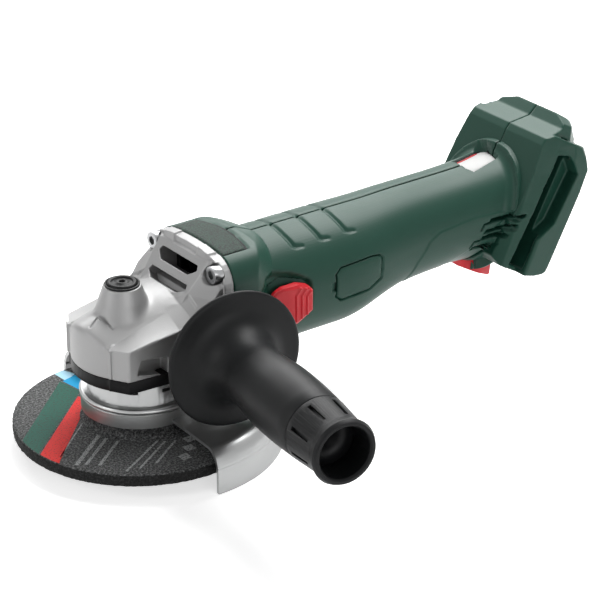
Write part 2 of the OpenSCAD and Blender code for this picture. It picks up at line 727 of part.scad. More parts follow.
// The body's outer form, drawn in by an inset
module body_solid(inset) {
    first = inset > 0 ? -1 : 0;
    loft([for (i = [0:len(STATIONS) - 1]) let(s = STATIONS[i])
        [for (p = body_section(s, inset)) let(rise = p[1] - motor_z)
            [s[0] + (i == 0 ? first : 0) + s[8] * rise
                + (rise > 0 ? s[7] * (1 - pow(p[0] / (s[1] - inset), 2)) : 0), p[0], p[1]]]]);
}

// Skin through a list of plans of the foot, drawn in by an inset
module foot_skin(rings, inset) {
    loft([for (s = rings)
        let(half = [[foot_front - 30, s[1]], [foot_front, s[1]], [s[2], s[3]], [(s[2] + s[5]) / 2, s[4]],
            [s[5], s[4]], [2, s[6]]])
        [for (e = [[-1, 0], [-1, 1], [-1, 2], [-1, 3], [-1, 4], [-1, 5],
                [1, 5], [1, 4], [1, 3], [1, 2], [1, 1], [1, 0]])
            [half[e[1]][0], e[0] * (half[e[1]][1] - inset), s[0]]]]);
}

// The foot's form: a side outline, cut to the plans
module foot_solid(inset) {
    d = inset;
    in_foot() intersection() {
        across(60) polygon([
            [foot_front + d, -3], [-28 + d, -6 + d], [-16, -6.6 + d], [-8, -4.8 + d], [-3 - d, -2.4 + d], [-d, 1],
            [-d, foot_h - 6], [-3 - d, foot_h - 1.5 - d], [-17.5 + d, foot_h - d],
            [-20 + d, foot_h - 6.5 - d], [-31 + d, foot_h - 14 - d], [foot_front + d, foot_h - 18]]);
        union() {
            foot_skin(FOOT_RINGS, d);
            foot_skin(CROWN_RINGS, d);
        }
    }
}

// Space for the battery's rails, open at the lower end of the foot
module battery_slot() {
    lip = 4;
    in_foot() {
        translate([-slot_depth, -slot_w, -20]) cube([slot_depth - lip, 2 * slot_w, slot_top + 20]);
        translate([-slot_depth, 4 - slot_w, -20]) cube([slot_depth + 5, 2 * slot_w - 8, slot_top + 20]);
        for (s = [-1, 1]) translate([0, s * (foot_w + 10), 0]) across(18.5) polygon([
            [-24.3, -20], [-24.3, 38.4], [-22.6, foot_h - 19.7], [-17.4, foot_h - 17.4],
            [-8.5, foot_h - 25], [-10.2, 24.2], [-16.8, 13.3], [-15.1, -20]]);
    }
}

// Louvres in both sides of the grip, next to the foot
module vents() {
    for (i = [0:3]) translate([201 - 4.5 * i, 0, 58 - 5 * i]) across(60)
        polygon([[-2, -1.5], [14, 1.1], [16, 3.2], [0, 0.8]]);
}

// Tubes that stand in from both shells to meet at the seam, and the gear housing's bosses
module body_bosses() {
    for (p = BODY_SCREWS) translate([p[0], 0, p[1]]) rotate([-90, 0, 0]) {
        cylinder(r = boss_r, h = 90, center = true);
        translate([0, 0, p[2] - 1.6]) cylinder(r = screw_head_r + 1.6, h = 60);
    }
    at_head_screws(head_rear) cylinder(r = head_screw_d / 2 + 2.2, h = 10);
}

// Ribs that hold what lies in the body
module body_ribs() {
    for (x = [can_x + 4, can_end - 6]) on_motor(x) difference() {
        cylinder(r = 45, h = 2.4);
        translate([0, 0, -1]) cylinder(r = can_r + run_gap, h = 5);
    }
    on_motor(rear_bearing_x - 1) difference() {
        cylinder(r = 45, h = motor_bearing_w + 2);
        translate([0, 0, 1]) cylinder(r = rear_bearing_d / 2 + run_gap, h = motor_bearing_w);
        translate([0, 0, -1]) cylinder(r = rear_bearing_d / 2 - 1.2, h = 20);
    }
    for (r = [[145, switch_low], [168, module_z], [200, module_z]])
        translate([r[0], -30, 20]) cube([2, 60, r[1] - 20]);
    translate([catch_x + 1, -14, 28]) cube([10, 28, 12]);
}

module housing(side) {
    gap = 0.05;
    difference() {
        union() {
            difference() {
                union() {
                    body_solid(0);
                    foot_solid(0);
                }
                body_solid(wall);
                intersection() {
                    foot_solid(wall);
                    in_foot() translate([-60, -60, -20]) cube([60 - slot_depth - wall, 120, 120]);
                }
            }
            intersection() {
                body_solid(wall / 2);
                union() {
                    body_ribs();
                    difference() {
                        body_bosses();
                        on_motor(can_x) cylinder(r = can_r + 0.3, h = can_l);
                    }
                }
            }
            intersection() {
                foot_solid(wall / 2);
                body_bosses();
            }
        }
        translate([0, side < 0 ? 50 - gap : -50 + gap, 50]) cube([700, 100, 200], center = true);
        battery_slot();
        vents();
        // body screws: a head pocket on the right, a shank hole through the boss
        for (p = BODY_SCREWS) translate([p[0], 0, p[1]]) rotate([-90, 0, 0]) {
            translate([0, 0, p[2] - body_screw_l]) cylinder(r = screw_d / 2 + run_gap, h = 60);
            translate([0, 0, p[2]]) cylinder(r = screw_head_r + 0.3, h = 60);
        }
        // gear housing screws
        at_head_screws(head_rear - 1) cylinder(r = head_screw_d / 2 + run_gap, h = 14);
        // brush doors
        for (s = [-1, 1]) translate([door_x, s * 30 - 15, door_z - door_h / 2]) cube([door_l, 30, door_h]);
        // plate seats
        translate([head_rear - 1, -22, collar_top - 4.4]) cube([16.3, 44, 9]);
        translate([plate_seat[0], -plate_seat[1], barrel_top - 1.4])
            cube([plate_seat[2], 2 * plate_seat[1], 9]);
        // slide button and its rod
        if (side < 0) slide_way();
        catch_pocket();
    }
}

// What the slide button, its rod and its link need in the left shell
module slide_way() {
    translate([slide_x - slide_travel - 1, -60, slide_z - slide_h / 2 - 0.5])
        cube([slide_l + slide_travel + 2, 60 - barrel_r + 0.7, slide_h + 1]);
    translate([slide_x + 3 - slide_travel, -60, slide_z - 7]) cube([slide_l + slide_travel - 6, 40, 14]);
    motor_sector(can_x - 1, 75, rod_in - 0.4, rod_out + 0.4, 172, rod_a[1] + 2.5);
    translate([rear_bearing_x - 3, link_y - 2.4, link_z - 2.4]) cube([14, 4.8, 4.8]);
}

module housing_left() { color([0.12, 0.25, 0.21]) housing(-1); }

module housing_right() { color([0.12, 0.25, 0.21]) housing(1); }

module housing_screws() {
    color([0.18, 0.18, 0.19]) for (p = BODY_SCREWS) translate([p[0], p[2], p[1]]) rotate([-90, 0, 0])
        difference() {
            union() {
                translate([0, 0, 0.5 - body_screw_l]) cylinder(r = screw_d / 2, h = body_screw_l);
                cylinder(r = screw_head_r, h = 2.6);
            }
            translate([0, 0, 1.2]) cylinder(r = 1.5, h = 4, $fn = 6);
        }
}

module nameplate() {
    color([0.25, 0.36, 0.33]) intersection() {
        translate([head_rear + 0.2, -21.7, collar_top - 4.3]) cube([14.8, 43.4, 9]);
        body_solid(0.3);
    }
}

module rating_plate() {
    c = 0.3;
    color([0.90, 0.90, 0.90]) translate([plate_seat[0] + c, c - plate_seat[1], barrel_top - 1.35])
        cube([plate_seat[2] - 2 * c, 2 * (plate_seat[1] - c), 0.8]);
}

// ---- Motor ----

module motor_can() {
    color([0.42, 0.43, 0.45]) on_motor(can_x) difference() {
        cylinder(r = can_r, h = can_l);
        translate([0, 0, 1.5]) cylinder(r = can_r - 2, h = can_l);
        translate([0, 0, -1]) cylinder(r = can_r - 4, h = can_l);
    }
}

module magnets() {
    color([0.22, 0.22, 0.24]) for (a = [90, 270])
        motor_sector(can_x + 4, can_l - 14, magnet_r, can_r - 2.03, a - 62, a + 62);
}

module motor_shaft() {
    r = shaft_d / 2;
    color([0.70, 0.71, 0.73]) on_motor(0) rotate_extrude() polygon([
        [0, 13.5], [r - 2, 13.5], [r - 2, front_bearing_x - 0.5], [r, front_bearing_x - 0.5],
        [r, rear_bearing_x - 0.5], [rear_shaft_r, rear_bearing_x - 0.5],
        [rear_shaft_r, rear_bearing_x + motor_bearing_w], [0, rear_bearing_x + motor_bearing_w]]);
}

module rotor_core() {
    slots = 12;
    color([0.38, 0.38, 0.40]) on_motor(can_x + 6) difference() {
        cylinder(r = rotor_d / 2, h = can_l - 18);
        translate([0, 0, -1]) cylinder(r = shaft_d / 2 + run_gap, h = can_l);
        for (i = [0:slots - 1]) rotate([0, 0, 360 * i / slots]) {
            translate([rotor_d / 2 - 6, -1.5, -1]) cube([4.5, 3, can_l]);
            translate([rotor_d / 2 - 3, -0.5, -1]) cube([6, 1, can_l]);
        }
    }
}

module windings() {
    l = can_l - 18;
    color([0.72, 0.38, 0.18]) for (e = [[can_x + 1.8, 4.1], [can_x + 6 + l + 0.1, 5.5]])
        on_motor(e[0]) rotate_extrude() translate([shaft_d / 2 + 0.6, 0])
            square([rotor_d / 2 - 2.4 - shaft_d / 2 - 0.6, e[1]]);
}

module commutator() {
    bars = 12;
    r = commutator_d / 2;
    color([0.74, 0.42, 0.22]) on_motor(comm_x) difference() {
        union() {
            cylinder(r = r, h = comm_l);
            translate([0, 0, -2]) cylinder(r = r + 1.6, h = 2);
        }
        translate([0, 0, -3]) cylinder(r = shaft_d / 2 + run_gap, h = 30);
        for (i = [0:bars - 1]) rotate([0, 0, 360 * i / bars])
            translate([r - 1.2, -0.3, -3]) cube([5, 0.6, 30]);
    }
}

module cooling_fan() {
    r = fan_d / 2;
    blades = 11;
    color([0.09, 0.09, 0.10]) on_motor(fan_x) difference() {
        union() {
            translate([0, 0, fan_l - 1.4]) cylinder(r = r, h = 1.4);
            cylinder(r = shaft_d / 2 + 3, h = fan_l);
            for (i = [0:blades - 1]) rotate([0, 0, 360 * i / blades])
                translate([shaft_d / 2 + 4, -0.6, 0]) rotate([0, 0, 18]) cube([r * 0.52, 1.2, fan_l - 1]);
        }
        translate([0, 0, -1]) cylinder(r = shaft_d / 2 + run_gap, h = fan_l + 2);
    }
}

module front_bearing() {
    color([0.72, 0.73, 0.75])
        on_motor(front_bearing_x) ball_bearing(shaft_d / 2, front_bearing_d / 2, motor_bearing_w);
}

module rear_bearing() {
    color([0.72, 0.73, 0.75])
        on_motor(rear_bearing_x) ball_bearing(rear_shaft_r, rear_bearing_d / 2, motor_bearing_w);
}

module air_baffle() {
    color([0.11, 0.11, 0.12]) on_motor(head_rear) difference() {
        cylinder(r = barrel_r - wall - free_gap, h = 1.6);
        translate([0, 0, -1]) cylinder(r = shaft_d / 2 + 8, h = 5);
        translate([-21, -14, -1]) cube([8, 28, 5]);
    }
}

module brush_plate() {
    color([0.14, 0.14, 0.15]) on_motor(can_end + 0.1) difference() {
        union() {
            cylinder(r = can_r, h = 2.2);
            for (s = [-1, 1]) scale([1, s, 1]) translate([-7, commutator_d / 2 + 2.4, 0])
                cube([14, can_r - commutator_d / 2 - 4, 3.2]);
        }
        translate([0, 0, -1]) cylinder(r = commutator_d / 2 + 2, h = 9);
    }
}

// Places a shape on both brushes, drawn out along +Z from the commutator
module at_brushes() {
    for (s = [-1, 1]) translate([brush_x, 0, motor_z]) rotate([-s * 90, 0, 0]) children();
}

module brush_holders() {
    start = commutator_d / 2 + 1.6;
    color([0.80, 0.66, 0.36]) at_brushes() difference() {
        translate([-brush_size[0] / 2 - 1, -brush_size[1] / 2 - 1, start])
            cube([brush_size[0] + 2, brush_size[1] + 2, can_r - start + 0.5]);
        translate([-brush_size[0] / 2 - 0.1, -brush_size[1] / 2 - 0.1, 0])
            cube([brush_size[0] + 0.2, brush_size[1] + 0.2, can_r - 0.5]);
    }
}

module carbon_brushes() {
    start = commutator_d / 2 + 0.3;
    color([0.10, 0.10, 0.10]) at_brushes() translate([-brush_size[0] / 2, -brush_size[1] / 2, start])
        cube([brush_size[0], brush_size[1], 6]);
}

module brush_springs() {
    start = commutator_d / 2 + 6.5;
    color([0.66, 0.67, 0.69]) at_brushes() translate([0, 0, start]) coil(1.7, 0.6, can_r - 0.7 - start, 5);
}

// Cover over a brush, which follows the barrel, side -1 left and 1 right
module brush_cover(side) {
    c = 0.25;
    l = door_l - 2 * c;
    h = door_h - 2 * c;
    cut = 3.2;
    intersection() {
        on_motor(door_x - 1) difference() {
            cylinder(r = barrel_r + 0.15, h = door_l + 2);
            translate([0, 0, -1]) cylinder(r = barrel_r - wall, h = door_l + 4);
        }
        translate([door_x + c, 0, door_z]) rotate([side * -90, 0, 0])
            linear_extrude(height = 60) polygon([
                [0, cut - h / 2], [cut, -h / 2], [l - cut, -h / 2], [l, cut - h / 2],
                [l, h / 2 - cut], [l - cut, h / 2], [cut, h / 2], [0, h / 2 - cut]]);
    }
}

module brush_cover_left() { color([0.12, 0.25, 0.21]) brush_cover(-1); }

module brush_cover_right() { color([0.12, 0.25, 0.21]) brush_cover(1); }

// ---- Switch and electrics ----

module slide_button() {
    back = -barrel_r - 0.3;
    stem = 14;
    color([0.80, 0.16, 0.20]) union() {
        difference() {
            translate([slide_x, back, slide_z]) rotate([90, 0, 0]) linear_extrude(height = 3.8) polygon([
                [0, slide_h / 2 - 4], [6, slide_h / 2 - 0.3], [slide_l - 3, slide_h / 2 - 0.3],
                [slide_l, slide_h / 2 - 3], [slide_l, 5 - slide_h / 2], [slide_l - 9, -slide_h / 2],
                [2, -slide_h / 2], [0, 2 - slide_h / 2]]);
            for (x = [11.5, 14.5, 17.5]) translate([slide_x + x, back - 4.6, slide_z - slide_h / 2 + 2.5])
                cube([1, 1.4, slide_h - 5]);
            translate([slide_x, back - 1.6, slide_z]) rotate([0, 0, -10])
                translate([-6, -8, -20]) cube([17.6, 8, 40]);
        }
        translate([slide_x + 5, back - 0.5, slide_z - 6]) cube([stem, barrel_r + 0.8 - rod_in - 1, 12]);
        motor_sector(slide_x + 5, stem, rod_in, rod_out, 174, rod_a[1]);
    }
}

module switch_rod() {
    start = slide_x + 19.1;
    end = 118;
    color([0.16, 0.16, 0.17]) union() {
        motor_sector(start, end - start, rod_in, rod_out, rod_a[0], rod_a[1]);
        intersection() {
            translate([end - 6, -25, motor_z - rod_out])
                cube([6, 27 + link_y, link_z + 2 - motor_z + rod_out]);
            on_motor(0) difference() {
                cylinder(r = rod_out - 0.2, h = 200);
                translate([0, 0, -1]) cylinder(r = commutator_d / 2 + 3, h = 202);
            }
        }
        translate([end - 6, link_y - 2, link_z - 2]) cube([link_end - end + 6, 4, 4]);
    }
}

module slide_spring() {
    color([0.66, 0.67, 0.69])
        translate([link_end + 0.3, link_y, link_z]) rotate([0, 90, 0]) coil(1.8, 0.6, 6, 6);
}

module switch_block() {
    color([0.12, 0.12, 0.13]) union() {
        translate([link_end + 6.6, link_y - 3, switch_low]) cube([18, 20, 15]);
        for (x = [4, 10]) translate([link_end + 7 + x, link_y + 17, link_z + 4]) cube([4, 4, 1]);
    }
}

module control_module() {
    color([0.15, 0.15, 0.16]) difference() {
        translate([166, -15, module_z]) cube([38, 30, 15]);
        translate([168, -13, module_z + 12]) cube([34, 26, 5]);
    }
}

module terminal_block() {
    color([0.09, 0.09, 0.10]) in_foot() difference() {
        translate([-slot_depth + 0.05, -16, slot_top - 32]) cube([slot_depth - 5, 32, 30]);
        for (y = [-12, -6, 0, 6, 12]) translate([-slot_depth + 3, y - 1.2, slot_top - 42])
            cube([slot_depth, 2.4, 36]);
    }
}

module contact_blades() {
    color([0.82, 0.70, 0.42]) in_foot() for (y = [-12, -6, 0, 6, 12])
        translate([-slot_depth + 3.05, y - 0.4, slot_top - 28]) cube([6, 0.8, 21.9]);
}

// ---- Catch under the grip ----

// Outline of the catch seen from above, grown by a gap
module catch_plan(gap) {
    polygon([for (e = [[1, 0], [1, 1], [1, 2], [1, 3], [-1, 3], [-1, 2], [-1, 1], [-1, 0]])
        let(p = [[-gap, 7], [9, 7], [16, 11], [catch_l + 3 * gap, 11]][e[1]])
        [catch_x + p[0], e[0] * (p[1] + gap)]]);
}

// Pocket of the catch in both shells
module catch_pocket() {
    translate([0, 0, 10]) linear_extrude(height = 28.5) catch_plan(free_gap);
    translate(catch_pivot) rotate([90, 0, 0]) cylinder(r = catch_pin_r + run_gap, h = 20.6, center = true);
}

module catch_lever() {
    color([0.62, 0.04, 0.06]) difference() {
        intersection() {
            across(20) polygon(concat([[catch_x, 37.6], [catch_x, 34.5]],
                [for (t = [0:0.2:1]) [catch_x + 2 + 21.5 * t, 31.8 - 12 * pow(t, 0.75)]],
                [[catch_x + catch_l - 0.6, 20.4], [catch_x + catch_l, 25.5], [catch_x + 23, 30],
                 [catch_x + 12, 37.6]]));
            translate([0, 0, 10]) linear_extrude(height = 40) catch_plan(0);
        }
        translate(catch_pivot) rotate([90, 0, 0])
            cylinder(r = catch_pin_r + run_gap, h = 60, center = true);
    }
}

module catch_pin() {
    color([0.60, 0.61, 0.63]) translate(catch_pivot) rotate([90, 0, 0])
        cylinder(r = catch_pin_r, h = 20, center = true);
}

// ---- Side handle ----

module handle_grip() {
    r = handle_r;
    seam = handle_l - sleeve_l;
    color([0.16, 0.17, 0.17]) on_handle(-1, flange_at) rotate_extrude($fn = 72) polygon(concat(
        [[handle_thread_d / 2 + run_gap, -handle_hub_l + 0.3], [11.5, -handle_hub_l + 0.3], [14.5, -4],
         [handle_flange_r - 3, -3.2], [handle_flange_r - 0.6, -1.2], [handle_flange_r, 0],
         [handle_flange_r - 0.8, 1.2]],
        [for (i = [0:6]) let(t = i / 6) [handle_flange_r - 3 - (handle_flange_r - 3 - r + 2.6) * t,
            1.6 + 16 * pow(t, 3)]],
        [[r - 1.2, 28], [r, 44], [r - 0.2, 60], [r - 1, seam - 0.1], [r - 3.4, seam - 0.1],
         [r - 3.4, seam + lap_l], [handle_thread_d / 2 + run_gap, seam + lap_l]]));
}

module handle_sleeve() {
    r = handle_r - 1;
    end_r = r - 0.4;
    seam = handle_l - sleeve_l;
    color([0.15, 0.16, 0.16]) on_handle(-1, flange_at) difference() {
        rotate_extrude($fn = 72) polygon([
            [r - 2.37, seam + 0.1], [r, seam + 0.1], [end_r - 1.2, handle_l - 7], [end_r - 0.4, handle_l - 4],
            [end_r, handle_l - 2], [end_r - 1, handle_l], [end_r - 2.4, handle_l],
            [end_r - 3.3, handle_l - 1], [end_r - 3.3, seam + lap_l + 0.2], [r - 2.37, seam + lap_l + 0.2]]);
        for (i = [0:7]) rotate([0, 0, 22.5 + 45 * i]) translate([end_r - 1.8, -0.9, seam + 3])
            cube([6, 1.8, 13]);
    }
}

module handle_stud() {
    r = handle_thread_d / 2;
    color([0.68, 0.69, 0.71]) on_handle(-1, stand_off - hole_depth + 0.5)
        cylinder(r = r - run_gap / 3, h = 62);
}

// ---- Assembly ----

housing_left();
housing_right();
housing_screws();
nameplate();
rating_plate();
gear_housing();
gear_housing_screws();
bearing_flange();
flange_screws();
bearing_cover();
spindle_bearing();
needle_bearing();
spindle();
ring_gear();
gear_circlip();
inner_flange();
grinding_disc();
clamping_nut();
guard_shell();
guard_collar();
lock_button();
lock_pin();
lock_spring();
button_ring();
air_baffle();
front_bearing();
rear_bearing();
motor_can();
magnets();
motor_shaft();
rotor_core();
windings();
commutator();
cooling_fan();
pinion();
brush_plate();
brush_holders();
carbon_brushes();
brush_springs();
brush_cover_left();
brush_cover_right();
slide_button();
switch_rod();
slide_spring();
switch_block();
control_module();
terminal_block();
contact_blades();
catch_lever();
catch_pin();
handle_grip();
handle_sleeve();
handle_stud();
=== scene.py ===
import json
import math

import bmesh
import bpy
import numpy as np
from mathutils import Matrix, Vector
from mathutils.geometry import delaunay_2d_cdt

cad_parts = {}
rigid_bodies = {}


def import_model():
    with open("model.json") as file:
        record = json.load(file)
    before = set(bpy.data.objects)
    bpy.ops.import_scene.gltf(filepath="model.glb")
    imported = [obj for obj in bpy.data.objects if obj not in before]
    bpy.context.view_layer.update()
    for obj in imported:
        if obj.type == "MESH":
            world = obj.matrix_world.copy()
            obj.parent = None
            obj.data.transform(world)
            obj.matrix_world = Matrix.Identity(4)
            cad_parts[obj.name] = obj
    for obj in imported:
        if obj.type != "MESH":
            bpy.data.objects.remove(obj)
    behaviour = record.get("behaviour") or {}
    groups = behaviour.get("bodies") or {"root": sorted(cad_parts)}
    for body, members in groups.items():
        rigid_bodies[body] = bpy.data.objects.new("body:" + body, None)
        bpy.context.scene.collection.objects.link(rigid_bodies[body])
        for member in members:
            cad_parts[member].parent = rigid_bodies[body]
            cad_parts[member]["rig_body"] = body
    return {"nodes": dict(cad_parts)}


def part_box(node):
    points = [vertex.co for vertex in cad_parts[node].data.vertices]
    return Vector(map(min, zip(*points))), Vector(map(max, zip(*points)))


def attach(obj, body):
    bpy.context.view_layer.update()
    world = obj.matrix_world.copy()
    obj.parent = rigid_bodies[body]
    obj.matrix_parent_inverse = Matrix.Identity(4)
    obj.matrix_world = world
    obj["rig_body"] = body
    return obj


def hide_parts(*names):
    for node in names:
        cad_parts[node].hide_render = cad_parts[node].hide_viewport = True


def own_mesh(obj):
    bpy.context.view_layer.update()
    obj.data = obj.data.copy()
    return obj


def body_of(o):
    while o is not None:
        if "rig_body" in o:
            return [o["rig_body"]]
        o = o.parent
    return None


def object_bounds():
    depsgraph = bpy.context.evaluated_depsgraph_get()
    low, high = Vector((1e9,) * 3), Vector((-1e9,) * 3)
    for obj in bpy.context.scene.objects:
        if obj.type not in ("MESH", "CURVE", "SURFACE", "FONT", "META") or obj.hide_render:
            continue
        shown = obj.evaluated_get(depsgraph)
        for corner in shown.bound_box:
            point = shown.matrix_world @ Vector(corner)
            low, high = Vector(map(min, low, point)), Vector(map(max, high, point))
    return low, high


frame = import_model()
cad_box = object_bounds()
nodes = frame["nodes"]

# ---- Floor, backdrop, lamps and camera ----
# A matt white table in front of a white world, as in a small studio. It is lit by
# softboxes overhead, behind and at the tool's left, and by a strip at its front.

MM = 0.001
WALL_LIGHT = 0.15               # what the white world gives to surfaces
PAPER_GLOW = (0.62, 1.0)        # what the table adds for the eye, near and far
GLOW_RISE = (0.5, 1.6)          # from where to where it rises, in metres
TABLE_REACH = 4


def linear(code):
    """Linear RGBA from an sRGB hex colour."""
    parts = [int(code[i:i + 2], 16) / 255 for i in (1, 3, 5)]
    return tuple(c / 12.92 if c <= 0.04045 else ((c + 0.055) / 1.055) ** 2.4
                 for c in parts) + (1.0,)


def add(owner, kind, sockets=None, **settings):
    """Adds a shader node with its settings; a socket gets a value or (node, output)."""
    made = owner.node_tree.nodes.new("ShaderNode" + kind)
    for name, value in settings.items():
        setattr(made, name, value)
    for name, value in (sockets or {}).items():
        socket = made.inputs[name]
        if isinstance(value, tuple) and isinstance(value[0], bpy.types.Node):
            owner.node_tree.links.new(value[0].outputs[value[1]], socket)
        else:
            socket.default_value = value
    return made


def start(name, made=None):
    """An empty material, or the world, with its nodes cleared."""
    made = made or bpy.data.materials.new(name)
    made.use_nodes = True
    made.node_tree.nodes.clear()
    return made


def seen_white(owner):
    """1 for the camera and for rays that mirror or pass, so the ground shows white there."""
    path = add(owner, "LightPath")
    seen = add(owner, "Math", {0: (path, "Is Camera Ray"), 1: (path, "Is Glossy Ray")},
               operation="MAXIMUM")
    return add(owner, "Math", {0: (seen, "Value"), 1: (path, "Is Transmission Ray")},
               operation="MAXIMUM")


world = start("studio", bpy.data.worlds.new("studio"))
bpy.context.scene.world = world
fill = add(world, "Background", {"Color": (1, 1, 1, 1), "Strength": WALL_LIGHT})
white = add(world, "Background", {"Color": (1, 1, 1, 1), "Strength": 1.0})
mixed = add(world, "MixShader", {0: (seen_white(world), "Value"), 1: (fill, "Background"),
                                 2: (white, "Background")})
add(world, "OutputWorld", {"Surface": (mixed, "Shader")})

# Matt paper: white wherever lamps reach it, with only the object's shadow to see on it.
paper = start("white paper table")
sheet = add(paper, "BsdfDiffuse", {"Color": linear("#f4f4f4")})
spot = add(paper, "NewGeometry")
reach = add(paper, "VectorMath", {0: (spot, "Position")}, operation="LENGTH")
# Past the lamps' reach the paper would turn grey, so it glows more there.
far_glow = add(paper, "MapRange", {"Value": (reach, "Value"), "From Min": GLOW_RISE[0],
                                   "From Max": GLOW_RISE[1], "To Min": PAPER_GLOW[0],
                                   "To Max": PAPER_GLOW[1]}, interpolation_type="SMOOTHSTEP")
glow = add(paper, "Emission", {"Color": (1, 1, 1, 1), "Strength": (far_glow, "Result")})
lit = add(paper, "AddShader", {0: (sheet, "BSDF"), 1: (glow, "Emission")})
ground = add(paper, "MixShader", {0: (seen_white(paper), "Value"), 1: (sheet, "BSDF"),
                                  2: (lit, "Shader")})
add(paper, "OutputMaterial", {"Surface": (ground, "Shader")})

level = cad_box[0][2] - 0.2 * MM
table = bpy.data.meshes.new("table")
table.from_pydata([(x * TABLE_REACH, y * TABLE_REACH, level)
                   for x, y in ((-1, -1), (1, -1), (1, 1), (-1, 1))], [], [(0, 1, 2, 3)])
table.materials.append(paper)
table = bpy.data.objects.new("table", table)
bpy.context.scene.collection.objects.link(table)

# [name, place, aim, width, height, watts]
for name, place, aim, wide, high, watts in (
        ("overhead softbox", (0.7, 0.25, 1.1), (0.1, 0, 0.05), 0.9, 0.6, 20),
        ("rear softbox", (0.5, 1.0, 0.75), (0.1, 0, 0.05), 1.2, 0.4, 9),
        ("left softbox", (-0.1, -1.5, 0.5), (0.1, 0, 0.05), 1.2, 0.3, 6),
        ("front strip", (-1.3, 0.25, 0.7), (0, 0, 0.04), 0.5, 0.9, 5)):
    lamp = bpy.data.lights.new(name, "AREA")
    lamp.shape = "RECTANGLE"
    lamp.size = wide
    lamp.size_y = high
    lamp.energy = watts
    lamp = bpy.data.objects.new(name, lamp)
    lamp.location = place
    lamp.rotation_euler = (Vector(place) - Vector(aim)).to_track_quat("Z", "Y").to_euler()
    bpy.context.scene.collection.objects.link(lamp)

# A long lens that looks down over the disc and the side handle.
camera = bpy.data.cameras.new("camera")
camera.sensor_width = 36
camera.lens = 156
camera.clip_start = 0.05
camera = bpy.data.objects.new("camera", camera)
camera.location = (-0.6028, -0.9446, 0.5940)
azimuth, height = math.radians(-36.5), math.radians(25.5)
camera.rotation_euler = (math.pi / 2 - height, 0, azimuth)
bpy.context.scene.collection.objects.link(camera)
bpy.context.scene.camera = camera
bpy.context.scene.view_settings.view_transform = "Standard"

# ---- Body shells ----
# Two halves of glass-filled nylon that meet along the top and bottom: square collar, round
# barrel with three grip grooves, slimmer grip and the leaning battery foot. The right half
# takes the screws from the side.

MOTOR_Z = 50.5                  # the motor's axis
SEAM = 0.5                      # half the gap where the halves meet
WALL = 2.2                      # how thick the halves' edges are
COLLAR_END = 57
FOOT_AT = (228.5, 27.0)         # x, z of the foot's own origin
FOOT_FRONT = -32                # its front face, from there
LEAN = math.radians(28.5)       # how far it leans back
ARC_STEPS, DOWN_STEPS = 28, 320 # points round a corner and down a side
# [x, half width, top, bottom, top corner, bottom corner, crown, bow, lean] in mm
STATIONS = np.array([
    (34, 32, 84.5, 20.5, 11, 15, 4, 0, 0), (48, 32, 84.5, 20.5, 11, 15, 4, 8, 0),
    (57, 30, 80.2, 20.5, 29.4, 29.4, 0, 9, 0), (75, 30, 80.2, 20.5, 29.4, 29.4, 0, 0, 0),
    (114, 30, 80.2, 20.5, 29.4, 29.4, 0, 0, 0), (125, 28.7, 80.1, 23.9, 28, 27, 0, 0, 0),
    (136, 26.8, 80.1, 27.7, 26, 25, 0, 0, 0), (150, 25.3, 80.7, 30.9, 24.6, 24, 0, 0, 0),
    (166, 24.6, 80.8, 32, 23.8, 23.4, 0, 0, 0), (184, 24.4, 80.9, 32.2, 23.6, 23.4, 0, 0, 0.1),
    (198, 24.6, 81.6, 31.7, 23.6, 23.4, 0, 0, 0.3), (209, 25, 83.6, 29.5, 24, 22, 0, 0, 0.5)])


def station(x):
    """The section's sizes at x: straight between the collar's edges, blended along the grip."""
    blur = 0.3 if x < COLLAR_END else min(6.0, 0.3 + (x - COLLAR_END) * 0.12)
    rows = [x + blur * k for k in (-1.5, -1, -0.5, 0, 0.5, 1, 1.5)]
    weights = np.array((0.05, 0.13, 0.2, 0.24, 0.2, 0.13, 0.05))
    return [float(weights @ np.interp(rows, STATIONS[:, 0], STATIONS[:, c])) for c in range(1, 9)]


def half_section(x, count):
    """Points (x, y, z) down one side of the body, from the top seam to the bottom seam."""
    w, top, low, rt, rb, crown, bow, lean = station(x)
    flat = top - crown
    up = np.radians(np.linspace(90, 0, ARC_STEPS))
    down = np.radians(np.linspace(0, -90, ARC_STEPS))
    y = np.concatenate(([0, (w - rt) / 2], w - rt + rt * np.cos(up), w - rb + rb * np.cos(down),
                        [(w - rb) / 2, 0]))
    z = np.concatenate(([flat, flat], flat - rt + rt * np.sin(up), low + rb + rb * np.sin(down),
                        [low, low]))
    z = np.where(z > MOTOR_Z, z + crown * (1 - (y / w) ** 2), z)
    run = np.concatenate(([0], np.cumsum(np.hypot(np.diff(y), np.diff(z)) + 1e-6)))
    steps = np.linspace(0, run[-1], count)
    y, z = np.interp(steps, run, y), np.interp(steps, run, z)
    rise = z - MOTOR_Z
    shift = np.where(rise > 0, bow * (1 - np.clip(y / w, 0, 1) ** 3.6), 0) + lean * rise
    return np.stack((x + shift, y, z), -1)


def from_line(u, v, points):
    """Distance of each point (u, v) from an open line."""
    best = np.full(u.shape, 1e9)
    for (ax, ay), (bx, by) in zip(points, points[1:]):
        dx, dy = bx - ax, by - ay
        along = np.clip(((u - ax) * dx + (v - ay) * dy) / (dx ** 2 + dy ** 2), 0, 1)
        best = np.minimum(best, np.hypot(u - ax - along * dx, v - ay - along * dy))
    return best


def inside_by(u, v, outline):
    """How far each point (u, v) lies within a closed outline; negative outside it."""
    corners = np.array(outline, float)
    within = np.zeros(u.shape, bool)
    for (ax, ay), (bx, by) in zip(corners, np.roll(corners, -1, axis=0)):
        if ay != by:
            within ^= ((ay > v) != (by > v)) & (u < (bx - ax) * (v - ay) / (by - ay) + ax)
    near = from_line(u, v, np.concatenate((corners, corners[:1])))
    return np.where(within, near, -near)


